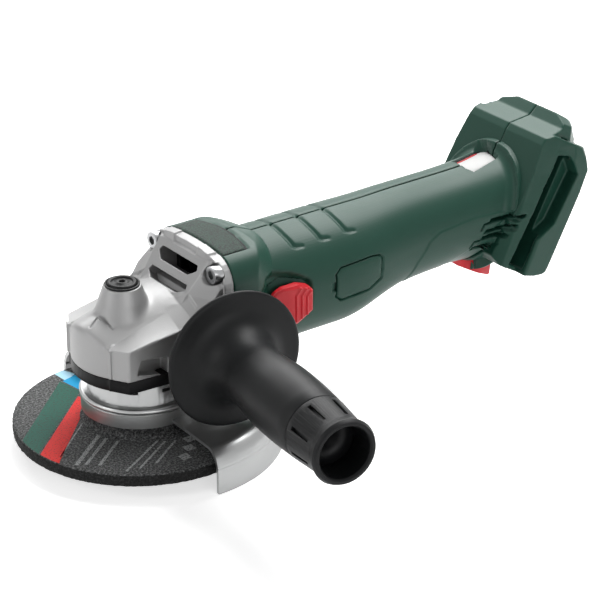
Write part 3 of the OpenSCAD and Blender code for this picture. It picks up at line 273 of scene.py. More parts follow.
def ramp(value, low, high):
    """0 below low, 1 above high, smooth between."""
    t = np.clip((value - low) / (high - low), 0, 1)
    return t * t * (3 - 2 * t)


# Outlines of the moulded details: (x, y) on top of the body, (x, z) on its flank, in mm.
NAMEPLATE = [(34.2, -22), *[(49.4 + 2.6 * (1 - (y / 22) ** 2), y) for y in range(-22, 23, 4)],
             (34.2, 22)]
WINDOW = [(199.9, 8.5), (205.5, 9.1), (218.9, 12.3), (221.9, 10.6), (222.2, 6.1), (219, -5.6),
          (200.7, -8.7), (198.6, -4.5)]
GROOVES = (77.7, 93.7, 109.4)
DOOR = [(100.3, 60.7), (119.7, 61.4), (125.8, 60.6), (127, 58.9), (125.8, 48), (118.1, 44),
        (99.5, 43.3), (96.2, 46.4), (96.8, 58)]
DOOR_NOTCH = [(94.3, 49.8), (97, 49.8), (97, 54.2), (94.3, 54.2)]
HOOD_OUT = [(46.8, 60.6), (54.6, 68.4), (62.4, 68.8), (72, 66.2), (80.4, 62), (82.6, 59.3),
            (82.4, 43.6), (72.6, 37.4), (46, 37)]
HOOD_IN = [(50, 58), (58.6, 62.2), (63, 64.4), (66.4, 64.6), (80.8, 59.9), (81.7, 57.6),
           (81.5, 44.6), (71.5, 38.9), (50, 38.6)]
LOWER_PANEL = [(213.7, 61.6), (188.2, 62.5), (166, 60.7), (159.3, 57.5), (152, 48), (148, 36),
               (213.7, 20), (148, 20)]
VENTS = [[(199.3, 59.5), (213, 59.5), (212.3, 57.4), (198, 57.4)],
         [(196.4, 54), (210.9, 54.2), (209.8, 52.5), (194.7, 52.5)],
         [(194.4, 50.9), (206, 51.1), (206, 48.8), (192.8, 48.4)],
         [(189.6, 45.4), (201, 45.6), (201, 43.6), (188.5, 43.8)]]
VENT_LINES = [[(198.5, 57.7), (194.9, 57.5), (193.1, 54.8)], [(193.2, 49), (189.1, 49.2), (187.4, 46)]]
# [x, z, how far the screw's seat lies from the middle] on the right half
SCREW_PLACES = [(122, 30, 12), (122, 71, 12), (152, 37.5, 6), (166, 72, 10), (210, 43, 10)]
SCREW_HOLE_R = 4.1

# Depths of the details, in mm.
GROOVE_DEPTH, GROOVE_WIDTH = 0.95, 1.05
SEAM_DEPTH, SEAM_WIDTH = 0.4, 0.4
WINDOW_DEPTH, NAMEPLATE_DEPTH = 2.4, 0.7
DOOR_DEPTH, NOTCH_DEPTH = 2.4, 1.6
PANEL_RISE = 0.4
VENT_DEPTH = 8
HOOD_DEPTH, THUMB_DEPTH = 2.6, 1.2
FOOT_FILLET = 5
POCKET_FROM = 3                 # a deeper detail is sunk straight in, not along the skin's normal
FOOT_VENT_DEPTH = 3.4


def vent_depth(x, z):
    """1 within the four louvres of the flank and the thin cuts at their front ends, else 0."""
    cut = np.zeros(x.shape)
    for slot in VENTS:
        cut = np.maximum(cut, ramp(inside_by(x, z, slot), -0.3, 0.25))
    for line in VENT_LINES:
        cut = np.maximum(cut, 1 - ramp(from_line(x, z, line), 0.15, 0.6))
    return cut


def relief(p, side):
    """Height of the moulded details over the plain shell, in mm, at points of the left half."""
    x, y, z = p[..., 0], p[..., 1], p[..., 2]
    top = ramp(z, 66, 67)
    flank = ramp(y, 8, 10)
    h = np.zeros(x.shape)
    for at in GROOVES:
        groove = [(at, 0), (at, 10), (at + 0.6, 15), (at + 1.2, 18), (at + 2.6, 19.1), (at + 5.4, 19.6)]
        near = from_line(x, y, groove)
        h -= GROOVE_DEPTH * top * np.exp(-(near / GROOVE_WIDTH) ** 2) * ramp(20.5 - y, 0, 2)
    above = ramp(z, 74, 76)
    window = above * ramp(inside_by(x, y * side, WINDOW), -0.2, 0.4)
    h -= SEAM_DEPTH * np.exp(-((y - SEAM) / SEAM_WIDTH) ** 2) + WINDOW_DEPTH * window
    h -= NAMEPLATE_DEPTH * above * ramp(inside_by(x, y * side, NAMEPLATE), -0.3, 0.2)
    h -= DOOR_DEPTH * flank * ramp(inside_by(x, z, DOOR), -0.35, 0.1)
    h -= NOTCH_DEPTH * flank * ramp(inside_by(x, z, DOOR_NOTCH), -0.4, 0.2)
    h += PANEL_RISE * flank * ramp(inside_by(x, z, LOWER_PANEL), -0.5, 0.5)
    h -= VENT_DEPTH * flank * vent_depth(x, z)
    if side < 0:
        h -= HOOD_DEPTH * flank * ramp(inside_by(x, z, HOOD_OUT), -0.2, 3.4)
        h -= THUMB_DEPTH * flank * ramp(inside_by(x, z, HOOD_IN), -0.3, 0.5)
    else:
        for sx, sz, seat in SCREW_PLACES:
            hole = ramp(SCREW_HOLE_R - np.hypot(x - sx, z - sz), -0.3, 0.4)
            h -= np.maximum(y - seat - 1, 0) * hole * ramp(y, seat, seat + 1)
    # The skin rises in a fillet to the foot, less beside the louvres and not in the window.
    from_foot = (x - FOOT_AT[0]) * math.cos(LEAN) - (z - FOOT_AT[1]) * math.sin(LEAN)
    gap = np.clip(FOOT_FRONT - from_foot, 0, FOOT_FILLET)
    fillet = FOOT_FILLET - np.sqrt(FOOT_FILLET ** 2 - (FOOT_FILLET - gap) ** 2)
    louvred = 0.85 * flank * ramp(z, 38, 43) * ramp(62.5 - z, 0, 2.5)
    return h + fillet * (1 - window) * (1 - louvred)


def grip_skin(side):
    """The shell from the gear housing to the foot, as points and quads."""
    # [from, to, step] along x: finest where the louvres are
    xs = np.concatenate([np.arange(*run) for run in (
        (34, 48, 0.7), (48, COLLAR_END, 0.6), (COLLAR_END, 186, 0.62), (186, 211.4, 0.38))])
    grid = np.array([half_section(x, DOWN_STEPS) for x in xs])
    grid[:, 0, 1] = grid[:, -1, 1] = SEAM
    axis = np.array((0, 0, MOTOR_Z))
    du, dv = np.gradient(grid, axis=0), np.gradient(grid, axis=1)
    out = np.cross(du, dv)
    out /= np.linalg.norm(out, axis=-1, keepdims=True)
    out *= np.sign((out * (grid - axis)).sum(-1, keepdims=True))
    height = relief(grid, side)
    pocket = (height < -POCKET_FROM)[..., None]
    shifted = grid + np.where(pocket, (0, 1, 0), out) * height[..., None]
    shifted[..., 1] = np.maximum(shifted[..., 1], SEAM)
    rim_top, rim_low = shifted[:, :1] - (0, 0, WALL), shifted[:, -1:] + (0, 0, WALL)
    grid = np.concatenate((rim_top, shifted, rim_low), axis=1)
    front = (grid[:1] - axis) * (1, 0.93, 0.93) + axis
    back = (grid[-1:] - axis) * (1, 0.1, 0.1) + axis
    grid = np.concatenate((front, grid, back), axis=0)
    grid[..., 1] = np.maximum(grid[..., 1], SEAM) * side
    rows, cols = grid.shape[:2]
    index = np.arange(rows * cols).reshape(rows, cols)
    quads = np.stack((index[:-1, :-1], index[1:, :-1], index[1:, 1:], index[:-1, 1:]), -1).reshape(-1, 4)
    return grid.reshape(-1, 3) * MM, quads[:, ::-1] if side > 0 else quads


def piece(mesh, body, material, *stands_for, slot=None):
    """Links a mesh as a piece of the object that rides on a body."""
    made = bpy.data.objects.new(mesh.name, mesh)
    bpy.context.scene.collection.objects.link(made)
    mesh.materials.clear()
    mesh.materials.append(material)
    mesh.polygons.foreach_set("use_smooth", [True] * len(mesh.polygons))
    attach(made, body)
    if stands_for:
        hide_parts(*stands_for)
    return made


def cad_mesh(node, name):
    """A copy of a CAD node's mesh at rest, with its vertices joined."""
    bpy.context.view_layer.update()
    work = bmesh.new()
    work.from_mesh(nodes[node].data)
    work.transform(nodes[node].matrix_world)
    bmesh.ops.remove_doubles(work, verts=work.verts, dist=0.002 * MM)
    mesh = bpy.data.meshes.new(name)
    work.to_mesh(mesh)
    work.free()
    return mesh


def vertices_of(mesh):
    """The mesh's vertices as rows (x, y, z), in metres."""
    places = np.empty(len(mesh.vertices) * 3)
    mesh.vertices.foreach_get("co", places)
    return places.reshape(-1, 3)


def carved(mesh, voxel, rounds, cutter, how="DIFFERENCE"):
    """The mesh after a cut, a fine voxel remesh and some smoothing, which softens its edges."""
    host = bpy.data.objects.new("carving", mesh)
    bpy.context.scene.collection.objects.link(host)
    cut = host.modifiers.new("cut", "BOOLEAN")
    cut.operation, cut.object, cut.solver, cut.use_self = how, cutter, "EXACT", True
    fine = host.modifiers.new("fine", "REMESH")
    fine.mode, fine.voxel_size = "VOXEL", voxel * MM
    soft = host.modifiers.new("soft", "SMOOTH")
    soft.factor, soft.iterations = 0.5, rounds
    bpy.context.view_layer.update()
    done = bpy.data.meshes.new_from_object(host.evaluated_get(bpy.context.evaluated_depsgraph_get()))
    bpy.data.objects.remove(host)
    return done


def joined(name, *meshes):
    """One mesh from several."""
    work = bmesh.new()
    for mesh in meshes:
        work.from_mesh(mesh)
    whole = bpy.data.meshes.new(name)
    work.to_mesh(whole)
    work.free()
    return whole


def block(name, points):
    """A convex block through some points, for a cut."""
    work = bmesh.new()
    for p in points:
        work.verts.new([c * MM for c in p])
    bmesh.ops.convex_hull(work, input=work.verts)
    mesh = bpy.data.meshes.new(name)
    work.to_mesh(mesh)
    work.free()
    made = bpy.data.objects.new(name, mesh)
    bpy.context.scene.collection.objects.link(made)
    return made


def foot_point(a, y, b):
    """Frame place of a point in the foot's own leaning frame, in mm."""
    return (FOOT_AT[0] + a * math.cos(LEAN) + b * math.sin(LEAN), y,
            FOOT_AT[1] - a * math.sin(LEAN) + b * math.cos(LEAN))


# Dark green nylon: semi-matt, with a fine eroded grain and a soft clear sheen on the edges.
nylon = start("green glass-filled nylon")
place = add(nylon, "TexCoord")
grain = add(nylon, "TexNoise", {"Vector": (place, "Object"), "Scale": 1 / (0.8 * MM), "Detail": 3.0,
                                "Roughness": 0.6})
patch = add(nylon, "TexNoise", {"Vector": (place, "Object"), "Scale": 1 / (35 * MM), "Detail": 2.0})
bump = add(nylon, "Bump", {"Height": (grain, "Fac"), "Strength": 0.3, "Distance": 0.12 * MM})
gloss = add(nylon, "MapRange", {"Value": (patch, "Fac"), "To Min": 0.36, "To Max": 0.46})
skin = add(nylon, "BsdfPrincipled", {"Base Color": linear("#183f33"), "Roughness": (gloss, "Result"),
                                     "Normal": (bump, "Normal"), "IOR": 1.53,
                                     "Specular IOR Level": 0.22})
add(nylon, "OutputMaterial", {"Surface": (skin, "BSDF")})

foot_space = block("foot_space", [foot_point(a, y, b) for a in (FOOT_FRONT - 0.02, 40)
                                  for y in (-60, 60) for b in (-40, 120)])
for side, half in ((-1, "left"), (1, "right")):
    # A wall behind the louvres that run into the foot, then the louvres cut in it.
    backing = block("backing", [foot_point(a, side * y, b) for a in (-40, -24) for y in (20, 24)
                                for b in (4, 23.5)])
    foot = joined("foot", cad_mesh("housing_" + half, "foot_" + half), backing.data)
    bpy.data.objects.remove(backing)
    foot = carved(foot, 0.5, 4, foot_space, "INTERSECT")
    spots = vertices_of(foot)
    flank = (spots[:, 0] < 214 * MM) & (spots[:, 1] * side > 21.5 * MM)
    cut = vent_depth(spots[:, 0] / MM, spots[:, 2] / MM)
    spots[:, 1] -= side * FOOT_VENT_DEPTH * MM * flank * cut
    foot.vertices.foreach_set("co", spots.ravel())
    points, quads = grip_skin(side)
    grip = bpy.data.meshes.new("grip_" + half)
    grip.from_pydata(points.tolist(), [], quads.tolist())
    piece(joined("shell_" + half, grip, foot), "housing", nylon, "housing_" + half, slot="body_shell")
bpy.data.objects.remove(foot_space)

# ---- Gear housing ----
# Die-cast aluminium, blasted and lacquered. It carries the spindle and is held to the shells
# by four long screws; the motor's air leaves through the two windows behind the lock button.

# [x, half width and height of the top's edge, half width and height where the sides start]
HEAD_TOP = np.array([
    (-36, 16, 47.8, 27, 47.4), (-27, 16.4, 50, 27, 49.3), (-6, 17, 56.3, 28, 52.5),
    (5, 17.3, 59.5, 28.6, 54), (12.7, 17.5, 61.8, 29.3, 56.6), (17, 18, 66, 29.8, 58.8)])
LUG = [(27, 9.4, 76), (27, 18.4, 76), (33, 9.4, 76), (33, 19.4, 76), (28, 9.8, 84.9),
       (28, 18, 83.7), (32.8, 9.8, 85.1), (32.8, 19, 83.9)]
RIB_R, RIB_AT, RIB_HALF = (29, 34.5), 0.58, 0.022       # radii in mm, the angles in radians
RIB_Z = (34.6, 50.8)
POCKET = [(-18.4, 36.8), (-16, 43.9), (-10.9, 43.4), (-1.9, 42.3), (-2.2, 33.4)]
ARROW = [(-28.9, -3.2), (-22.5, 0), (-20.9, -10.2)]
BOSS_R = 11.4
NEAR_SLOPE = 1.3                # what lies nearer than this to the long slopes is drawn to them
CROWN_HALF, CROWN_FROM = 15.6, 46
CROWN_PASSES, CROWN_PULL = 120, 0.6


def metal(name, code, gloss, grain_mm=0.5, relief_mm=0.02, along=(1, 1, 1), metallic=1.0, shine=0.5):
    """A metal whose grain may run along an axis, with patches of two glosses.

    The grain, grain_mm across, is drawn coarser than the real one so that it shows.
    """
    made = start(name)
    place = add(made, "TexCoord")
    run = add(made, "Mapping", {"Vector": (place, "Object"), "Scale": along})
    grain = add(made, "TexNoise", {"Vector": (run, "Vector"), "Scale": 1 / (grain_mm * MM),
                                   "Detail": 3.0, "Roughness": 0.65})
    patch = add(made, "TexNoise", {"Vector": (place, "Object"), "Scale": 1 / (18 * MM), "Detail": 3.0})
    rough = add(made, "MapRange", {"Value": (patch, "Fac"), "To Min": gloss[0], "To Max": gloss[1]})
    bump = add(made, "Bump", {"Height": (grain, "Fac"), "Strength": 0.4, "Distance": relief_mm * MM})
    skin = add(made, "BsdfPrincipled", {"Base Color": linear(code), "Roughness": (rough, "Result"),
                                        "Normal": (bump, "Normal"), "Metallic": metallic,
                                        "Specular IOR Level": shine})
    add(made, "OutputMaterial", {"Surface": (skin, "BSDF")})
    return made


# Blasted casting: light grey and silky, with a fine grain and hardly any mirror.
aluminium = metal("die-cast aluminium", "#959595", (0.42, 0.54), 0.9, 0.07, metallic=0.55)

pocket = block("pocket", [(x, y, z) for x, z in POCKET for y in (-40, -22)])
extras = []
for side in (-1, 1):
    extras.append(block("lug", [(x, side * y, z) for x, y, z in LUG]))
    extras.append(block("rib", [(-r * math.cos(t), side * r * math.sin(t), z) for r in RIB_R
                                for t in (RIB_AT - RIB_HALF, RIB_AT + RIB_HALF) for z in RIB_Z]))
plain_casting = cad_mesh("gear_housing", "plain_casting")
head = joined("gear_head_casting", plain_casting, *[e.data for e in extras])
head = carved(head, 0.36, 3, pocket)
for helper in (pocket, *extras):
    bpy.data.objects.remove(helper)

# The long slopes at the sides are drawn out flat between the top's edge and the sides.
spots = vertices_of(head)
x, y, z = spots.T / MM
edge_y, edge_z, side_y, side_z = (np.interp(x, HEAD_TOP[:, 0], HEAD_TOP[:, c]) for c in range(1, 5))
slope = side_z + (edge_z - side_z) * (side_y - np.abs(y)) / (side_y - edge_y)
on_slope = ((np.abs(z - slope) < NEAR_SLOPE) * ramp(np.abs(y) - edge_y, 0.3, 0.8)
            * ramp(side_y - np.abs(y), 0.3, 0.8))
spots[:, 2] += (slope - z) * MM * on_slope * ramp(x, -36, -34) * ramp(17 - x, 0, 1)

# The top is eased to one soft crown, apart from the cast arrow and the lock button's boss.
pairs = np.empty(len(head.edges) * 2, int)
head.edges.foreach_get("vertices", pairs)
pairs = pairs.reshape(-1, 2)
button = np.mean(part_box("lock_button"), axis=0)
x, y, z = spots.T / MM
crown = ((ramp(from_line(x, y, ARROW), 1, 2) * ramp(CROWN_HALF - np.abs(y), 0, 1)
          * ramp(x, -35, -33) * ramp(11 - x, 0, 1) * (z > CROWN_FROM)
          * ramp(np.hypot(x - button[0] / MM, y), BOSS_R, BOSS_R + 1))[:, None])
count = np.bincount(pairs.ravel(), minlength=len(spots))[:, None]
for _ in range(CROWN_PASSES):
    total = np.stack([np.bincount(pairs[:, 0], spots[pairs[:, 1], k], len(spots))
                      + np.bincount(pairs[:, 1], spots[pairs[:, 0], k], len(spots))
                      for k in range(3)], -1)
    spots += CROWN_PULL * crown * (total / count - spots)
head.vertices.foreach_set("co", spots.ravel())
piece(head, "housing", aluminium, "gear_housing", slot="cast_aluminium")

# ---- Bearing flange ----
# Black coated aluminium plate under the gear housing, with the turned neck that the guard's
# collar turns on. Four countersunk screws and a steel ring for the bearing sit inside it.


def softened(node, material, width, slot, angle=30):
    """The CAD node's own mesh with its sharp edges rounded by a bevel of a width in mm."""
    mesh = cad_mesh(node, node + "_finished")
    work = bmesh.new()
    work.from_mesh(mesh)
    bmesh.ops.dissolve_limit(work, angle_limit=math.radians(0.6), verts=work.verts, edges=work.edges)
    work.to_mesh(mesh)
    work.free()
    made = piece(mesh, body_of(nodes[node])[0], material, node, slot=slot)
    round_edges = made.modifiers.new("edges", "BEVEL")
    round_edges.width = width * MM
    round_edges.segments = 2
    round_edges.limit_method = "ANGLE"
    round_edges.angle_limit = math.radians(angle)
    round_edges.harden_normals = True
    return made


def dress(material, *names):
    """Gives a material to CAD nodes whose shape stays as it is."""
    for name in names:
        for held in nodes[name].material_slots:
            held.material = material


# Black coating: dark and satin, so that only its edges catch the light.
coated = metal("black coated aluminium", "#101011", (0.38, 0.5), 0.5, 0.02, metallic=0.1, shine=0.12)
softened("bearing_flange", coated, 0.35, "black_aluminium")

# ---- Guard ----
# Pressed steel sheet, 1.6 mm, zinc plated, over half of the disc. Its rolled collar is slotted
# for the catch and clamps round the neck of the bearing flange.

GUARD_TURN, GUARD_SWEEP = -92, 183      # where its skirt starts and how far it runs, in degrees


def turned(name, profile, steps=144, at=None, from_angle=0.0, sweep=360.0):
    """A solid turned round Z from a closed outline (r, z) in mm, wholly or over a part turn."""
    closed = sweep >= 360
    outline = np.array(profile, float) * MM
    angles = np.radians(from_angle + np.linspace(0, sweep, steps + (not closed), endpoint=not closed))
    r, z = outline.T
    grid = np.array([np.stack((r * math.cos(t), r * math.sin(t), z), -1) for t in angles])
    rings, count = len(angles), len(outline)
    faces = [(i * count + j, (i + 1) % rings * count + j, (i + 1) % rings * count + (j + 1) % count,
              i * count + (j + 1) % count) for i in range(rings - (not closed)) for j in range(count)]
    if not closed:
        faces += [tuple(range(count)), tuple((rings - 1) * count + j for j in range(count))[::-1]]
    mesh = bpy.data.meshes.new(name)
    mesh.from_pydata(grid.reshape(-1, 3).tolist(), [], faces)
    work = bmesh.new()
    work.from_mesh(mesh)
    bmesh.ops.remove_doubles(work, verts=work.verts, dist=0.001 * MM)
    bmesh.ops.recalc_face_normals(work, faces=work.faces)
    work.to_mesh(mesh)
    work.free()
    if at:
        mesh.transform(at)
    return mesh


def curve(points, per=6):
    """Points of a smooth line through the given ones."""
    p = np.array([points[0]] + list(points) + [points[-1]], float)
    line = []
    for a, b, c, d in zip(p, p[1:], p[2:], p[3:]):
        for t in np.arange(per) / per:
            line.append(0.5 * (2 * b + (c - a) * t + (2 * a - 5 * b + 4 * c - d) * t ** 2
                               + (3 * b - a - 3 * c + d) * t ** 3))
    return [tuple(q) for q in line] + [tuple(points[-1])]


# Zinc-plated sheet: bright and satin, with a faint rolled grain.
plated = metal("zinc-plated steel sheet", "#a3a4a4", (0.26, 0.4), 0.6, 0.01, (1, 1, 0.15), 0.9)

# Closed outlines (r, z): the outside of the skirt, its rolled rim and back up the inside.
skirt = [(28, 7.5)]
skirt += curve([(58, 7.5), (62.5, 7), (65.6, 4.4), (67.4, 0.6), (67.3, -0.6), (67.7, -2.2)], 5)
skirt += [(67.7, -12.6), (68, -13), (69.5, -13), (69.6, -12.7), (69.6, -11.9), (69.4, -11.6),
          (69.3, -2.2)]
skirt += curve([(69.3, -2.2), (68.9, -0.5), (69, 0.8), (67, 5.6), (63.2, 8.6), (58, 9.1)], 5)
skirt += [(28, 9.1)]
neck = [(27, 6.5), (29, 6.5), (29, 13.3), (28.7, 13.6), (27.3, 13.6), (27, 13.3)]
guard = joined("guard_skirt", turned("skirt", skirt, 140, None, GUARD_TURN, GUARD_SWEEP),
               turned("neck", neck))
made = piece(guard, "guard", plated, "guard_shell", slot="guard_steel")
made.modifiers.new("sharp", "EDGE_SPLIT").split_angle = math.radians(42)
softened("guard_collar", plated, 0.3, "guard_steel")

# ---- Grinding disc ----
# Bonded corundum and resin between two glass meshes, 125 mm, with a raised middle. The print
# on the upper face is kept to plain bands and fields in its colours.

DISC_R, BORE_R = 62.5, 11.1
GRIT, SPECK = 1.1, 1.0          # grains and the gaps in the print, as drawn
FACE_R = (29.2, 61.8)           # where the print may lie


def disc_face():
    """Dark grains in dark resin, with paler grains between; the sides and underside are painted darker
    as shade.
    """
    made = start("bonded abrasive")
    place = add(made, "TexCoord")
    grit = add(made, "TexVoronoi", {"Vector": (place, "Object"), "Scale": 1 / (GRIT * MM)})
    fine = add(made, "TexNoise", {"Vector": (place, "Object"), "Scale": 1 / (GRIT * MM), "Detail": 4.0,
                                  "Roughness": 0.8})
    tone = add(made, "ValToRGB", {"Fac": (fine, "Fac")})
    stops = tone.color_ramp.elements
    stops[0].position, stops[1].position = 0.36, 0.64
    stops[0].color, stops[1].color = linear("#191a1a"), linear("#8b8c8c")
    stops.new(0.5).color = linear("#4a4b4b")
    height = add(made, "Math", {0: (grit, "Distance"), 1: (fine, "Fac")}, operation="ADD")
    bump = add(made, "Bump", {"Height": (height, "Value"), "Strength": 0.9, "Distance": 0.25 * MM})
    # Painted shade: faces that turn away from the top, the rim and the underside, get their colour
    # multiplied down to 0.12.
    facing = add(made, "SeparateXYZ", {"Vector": (place, "Normal")})
    flat = add(made, "MapRange", {"Value": (facing, "Z"), "From Min": 0.3, "From Max": 0.8,
                                  "To Min": 0.12})
    tone_and_painted_shade = add(made, "Mix", {"Factor": 1.0, "A": (tone, "Color"), "B": (flat, "Result")},
                data_type="RGBA", blend_type="MULTIPLY")
    skin = add(made, "BsdfPrincipled", {"Base Color": (tone_and_painted_shade, "Result"), "Roughness": 0.8,
                                        "Normal": (bump, "Normal"), "Specular IOR Level": 0.2})
    add(made, "OutputMaterial", {"Surface": (skin, "BSDF")})
    return made


# Grey-black and dull with glinting grains. Grit 24 is about 0.8 mm; it is drawn coarser to show.
abrasive = disc_face()
profile = [(BORE_R, -1.5), (22, -1.5)] + curve([(22, -1.5), (25, -4.6), (27, -6)], 3)[1:]
profile += [(r, -6) for r in range(30, 61, 6)] + [(62.1, -6)]
profile += [(DISC_R, z) for z in (-5.6, -4.2, -2.8, -1.4, -0.5)] + [(62, 0)]
profile += [(r, 0) for r in range(58, 29, -4)]
profile += curve([(28.5, 0), (26.5, 1.4), (24, 4.5)], 3)[1:] + [(BORE_R, 4.5)]
disc = turned("disc_body", profile, 360)
spots = vertices_of(disc)
reach = np.hypot(spots[:, 0], spots[:, 1])
rough_rim = np.random.default_rng(7).uniform(-0.45, 0.0, len(spots)) * MM * (reach > 61 * MM)
spots[:, :2] *= (1 + rough_rim / np.maximum(reach, MM))[:, None]
disc.vertices.foreach_set("co", spots.ravel())
piece(disc, "spindle", abrasive, "grinding_disc", slot="abrasive")


def ink(name, code, wear):
    """Printing ink on the grit: matt, with specks worn or missed so that grains show."""
    made = start(name)
    place = add(made, "TexCoord")
    fine = add(made, "TexNoise", {"Vector": (place, "Object"), "Scale": 1 / (SPECK * MM), "Detail": 4.0,
                                  "Roughness": 0.8})
    missed = add(made, "MapRange", {"Value": (fine, "Fac"), "From Min": wear - 0.05,
                                    "From Max": wear + 0.05})
    colour = add(made, "Mix", {"Factor": (missed, "Result"), "A": linear("#2a2b2b"),
                               "B": linear(code)}, data_type="RGBA")
    bump = add(made, "Bump", {"Height": (fine, "Fac"), "Strength": 0.8, "Distance": 0.15 * MM})
    skin = add(made, "BsdfPrincipled", {"Base Color": (colour, "Result"), "Roughness": 0.62,
                                        "Normal": (bump, "Normal"), "Specular IOR Level": 0.15})
    add(made, "OutputMaterial", {"Surface": (skin, "BSDF")})
    return made


def printed(name, outline, level):
    """A flat field of the print, cut to the disc's face, at a level in hundredths of a mm."""
    corners = []
    for (ax, ay), (bx, by) in zip(outline, outline[1:] + outline[:1]):
        n = max(1, int(math.dist((ax, ay), (bx, by)) / 2))
        corners += [(ax + (bx - ax) * k / n, ay + (by - ay) * k / n) for k in range(n)]
    flat = []
    for x, y in corners:
        r = math.hypot(x, y)
        limit = min(max(r, FACE_R[0]), FACE_R[1]) / r
        flat.append((x * limit * MM, y * limit * MM, level * 0.01 * MM))
    mesh = bpy.data.meshes.new(name)
    mesh.from_pydata(flat, [], [tuple(range(len(flat)))])
    return mesh


# Printing inks: flat and matt, a little worn, so that the grit breaks through them.
green_ink, red_ink = ink("green ink", "#175546", 0.44), ink("red ink", "#e02f2b", 0.40)
blue_ink, sky_ink = ink("blue ink", "#1296c8", 0.25), ink("light blue ink", "#a9d5e8", 0.25)
pale_ink = ink("pale grey ink", "#a9abab", 0.46)
for name, material, level, outline in (
        ("print_green", green_ink, 3, [(-14, 52), (-11.8, 36.9), (-62.6, -6.4), (-62.4, 8.8)]),
        ("print_red", red_ink, 4, [(-15.4, 33), (-13.3, 26.5), (-59, -19.6), (-61.7, -7.1)]),
        ("print_sky", sky_ink, 5, [(-12.2, 60.9), (-6.5, 61.8), (-3.7, 54.5), (-11.5, 50.2)]),
        ("print_blue", blue_ink, 6, [(-13, 51.3), (-2.7, 53.8), (-3.8, 46.1), (-11.1, 38.1)])):
    piece(printed(name, outline, level), "spindle", material, slot="abrasive")


def stripe(a, b, wide):
    """The outline of a straight stripe between two points."""
    along = Vector((b[0] - a[0], b[1] - a[1])).normalized() * wide / 2
    return [(a[0] - along.y, a[1] + along.x), (a[0] + along.y, a[1] - along.x),
            (b[0] + along.y, b[1] - along.x), (b[0] - along.y, b[1] + along.x)]


PATCH = 5.2
# Plain stripes [from, to, width] and square patches take the place of small print.
small = [printed("line", stripe(a, b, wide), 4) for a, b, wide in (
    ((-23.4, 12.4), (-55, -14.6), 0.7), ((-24, -3.6), (-53, -25.6), 2.2),
    ((-25.6, -10.4), (-49.2, -28), 1.6), ((-24.4, -17.4), (-44.4, -32.2), 1.6),
    ((-9.5, -28.5), (-37.5, -44.5), 1.2), ((-6.5, -30.8), (-31, -46), 1.2),
    ((-2, -33), (-22, -46.4), 1.2))]
small += [printed("patch", stripe((x - PATCH / 2, y), (x + PATCH / 2, y), PATCH), 4)
          for x, y in ((4, -36), (-1, -43), (-7.6, -49))]
piece(joined("print_small", *small), "spindle", pale_ink, slot="abrasive")

# ---- Spindle and clamping parts ----
# Ground steel spindle in a ball bearing and a needle bearing, driven by the ring gear. The
# inner flange sits on it above the disc, and the two-pin nut is screwed on below.

# Turned and ground steel: bright, with the fine rings of the tool across it.
ground_steel = metal("ground steel", "#8f9092", (0.18, 0.3), 0.4, 0.008, (0.2, 0.2, 1))
# Hardened and oiled steel: dark brown-grey with a low sheen.
oiled_steel = metal("hardened oiled steel", "#4b4a49", (0.32, 0.46), 0.5, 0.015)
# Zinc-plated turned parts: light grey and bright.
plated_part = metal("zinc-plated turned steel", "#9a9b9c", (0.24, 0.36), 0.4, 0.01)
softened("inner_flange", plated_part, 0.25, "screw_steel")
softened("clamping_nut", oiled_steel, 0.3, "dark_steel")
dress(ground_steel, "spindle", "spindle_bearing", "needle_bearing", "front_bearing", "rear_bearing",
      "motor_shaft")
dress(oiled_steel, "ring_gear", "gear_circlip", "pinion", "rotor_core")
dress(plated_part, "bearing_cover", "motor_can", "lock_pin", "slide_spring", "brush_springs",
      "catch_pin", "handle_stud")

# ---- Spindle lock button ----
# Black glass-filled nylon cap with two moulded rings, in a black ring on the casting's boss.
# Pressing it drops its pin into the ring gear.


def moulded(name, code, gloss, grain_mm=0.5, relief_mm=0.03, shine=0.14):
    """A moulded plastic: an eroded grain, drawn coarser to show, and patches of two glosses."""
    made = start(name)
    place = add(made, "TexCoord")
    grain = add(made, "TexNoise", {"Vector": (place, "Object"), "Scale": 1 / (grain_mm * MM),
                                   "Detail": 3.0, "Roughness": 0.6})
    patch = add(made, "TexNoise", {"Vector": (place, "Object"), "Scale": 1 / (25 * MM), "Detail": 2.0})
    rough = add(made, "MapRange", {"Value": (patch, "Fac"), "To Min": gloss[0], "To Max": gloss[1]})
    bump = add(made, "Bump", {"Height": (grain, "Fac"), "Strength": 0.35, "Distance": relief_mm * MM})
    skin = add(made, "BsdfPrincipled", {"Base Color": linear(code), "Roughness": (rough, "Result"),
                                        "Normal": (bump, "Normal"), "IOR": 1.53,
                                        "Specular IOR Level": shine})
    add(made, "OutputMaterial", {"Surface": (skin, "BSDF")})
    return made


# Black nylon: deep black, half matt.
black_nylon = moulded("black nylon", "#111112", (0.36, 0.46))
low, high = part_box("lock_button")
reach = (high[0] - low[0]) / 2 / MM
# The cap's outline (r, z) from its top: hollow over the spring, two rings moulded in its face.
cap = [(0.02, -2.2), (reach - 1.4, -2.2), (reach - 1.4, -7), (reach - 0.2, -7), (reach, -6.8),
       (reach, -0.9)]
cap += curve([(reach, -0.9), (reach - 0.5, -0.2), (reach - 1.2, 0), (reach - 2, -0.25),
              (reach - 2.3, -0.8), (3.6, -0.55), (2.6, -0.1), (1.9, 0), (1.5, -0.2), (1.3, -1.0),
              (0.7, -1.1), (0.02, -1.1)], 4)
at = Matrix.Translation(((low[0] + high[0]) / 2, 0, high[2]))
piece(turned("lock_cap", cap, 96, at), "lock", black_nylon, "lock_button", slot="black_plastic")
softened("button_ring", black_nylon, 0.2, "black_plastic")
coil = cad_mesh("lock_spring", "lock_coil")
coil = piece(coil, "housing", plated_part, "lock_spring", slot="screw_steel")
low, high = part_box("lock_spring")
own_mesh(coil)

# ---- Side handle ----
# Glass-filled nylon grip with a wide flange, a slotted rear sleeve pushed on its end, and a
# steel stud moulded in, screwed in the gear housing.

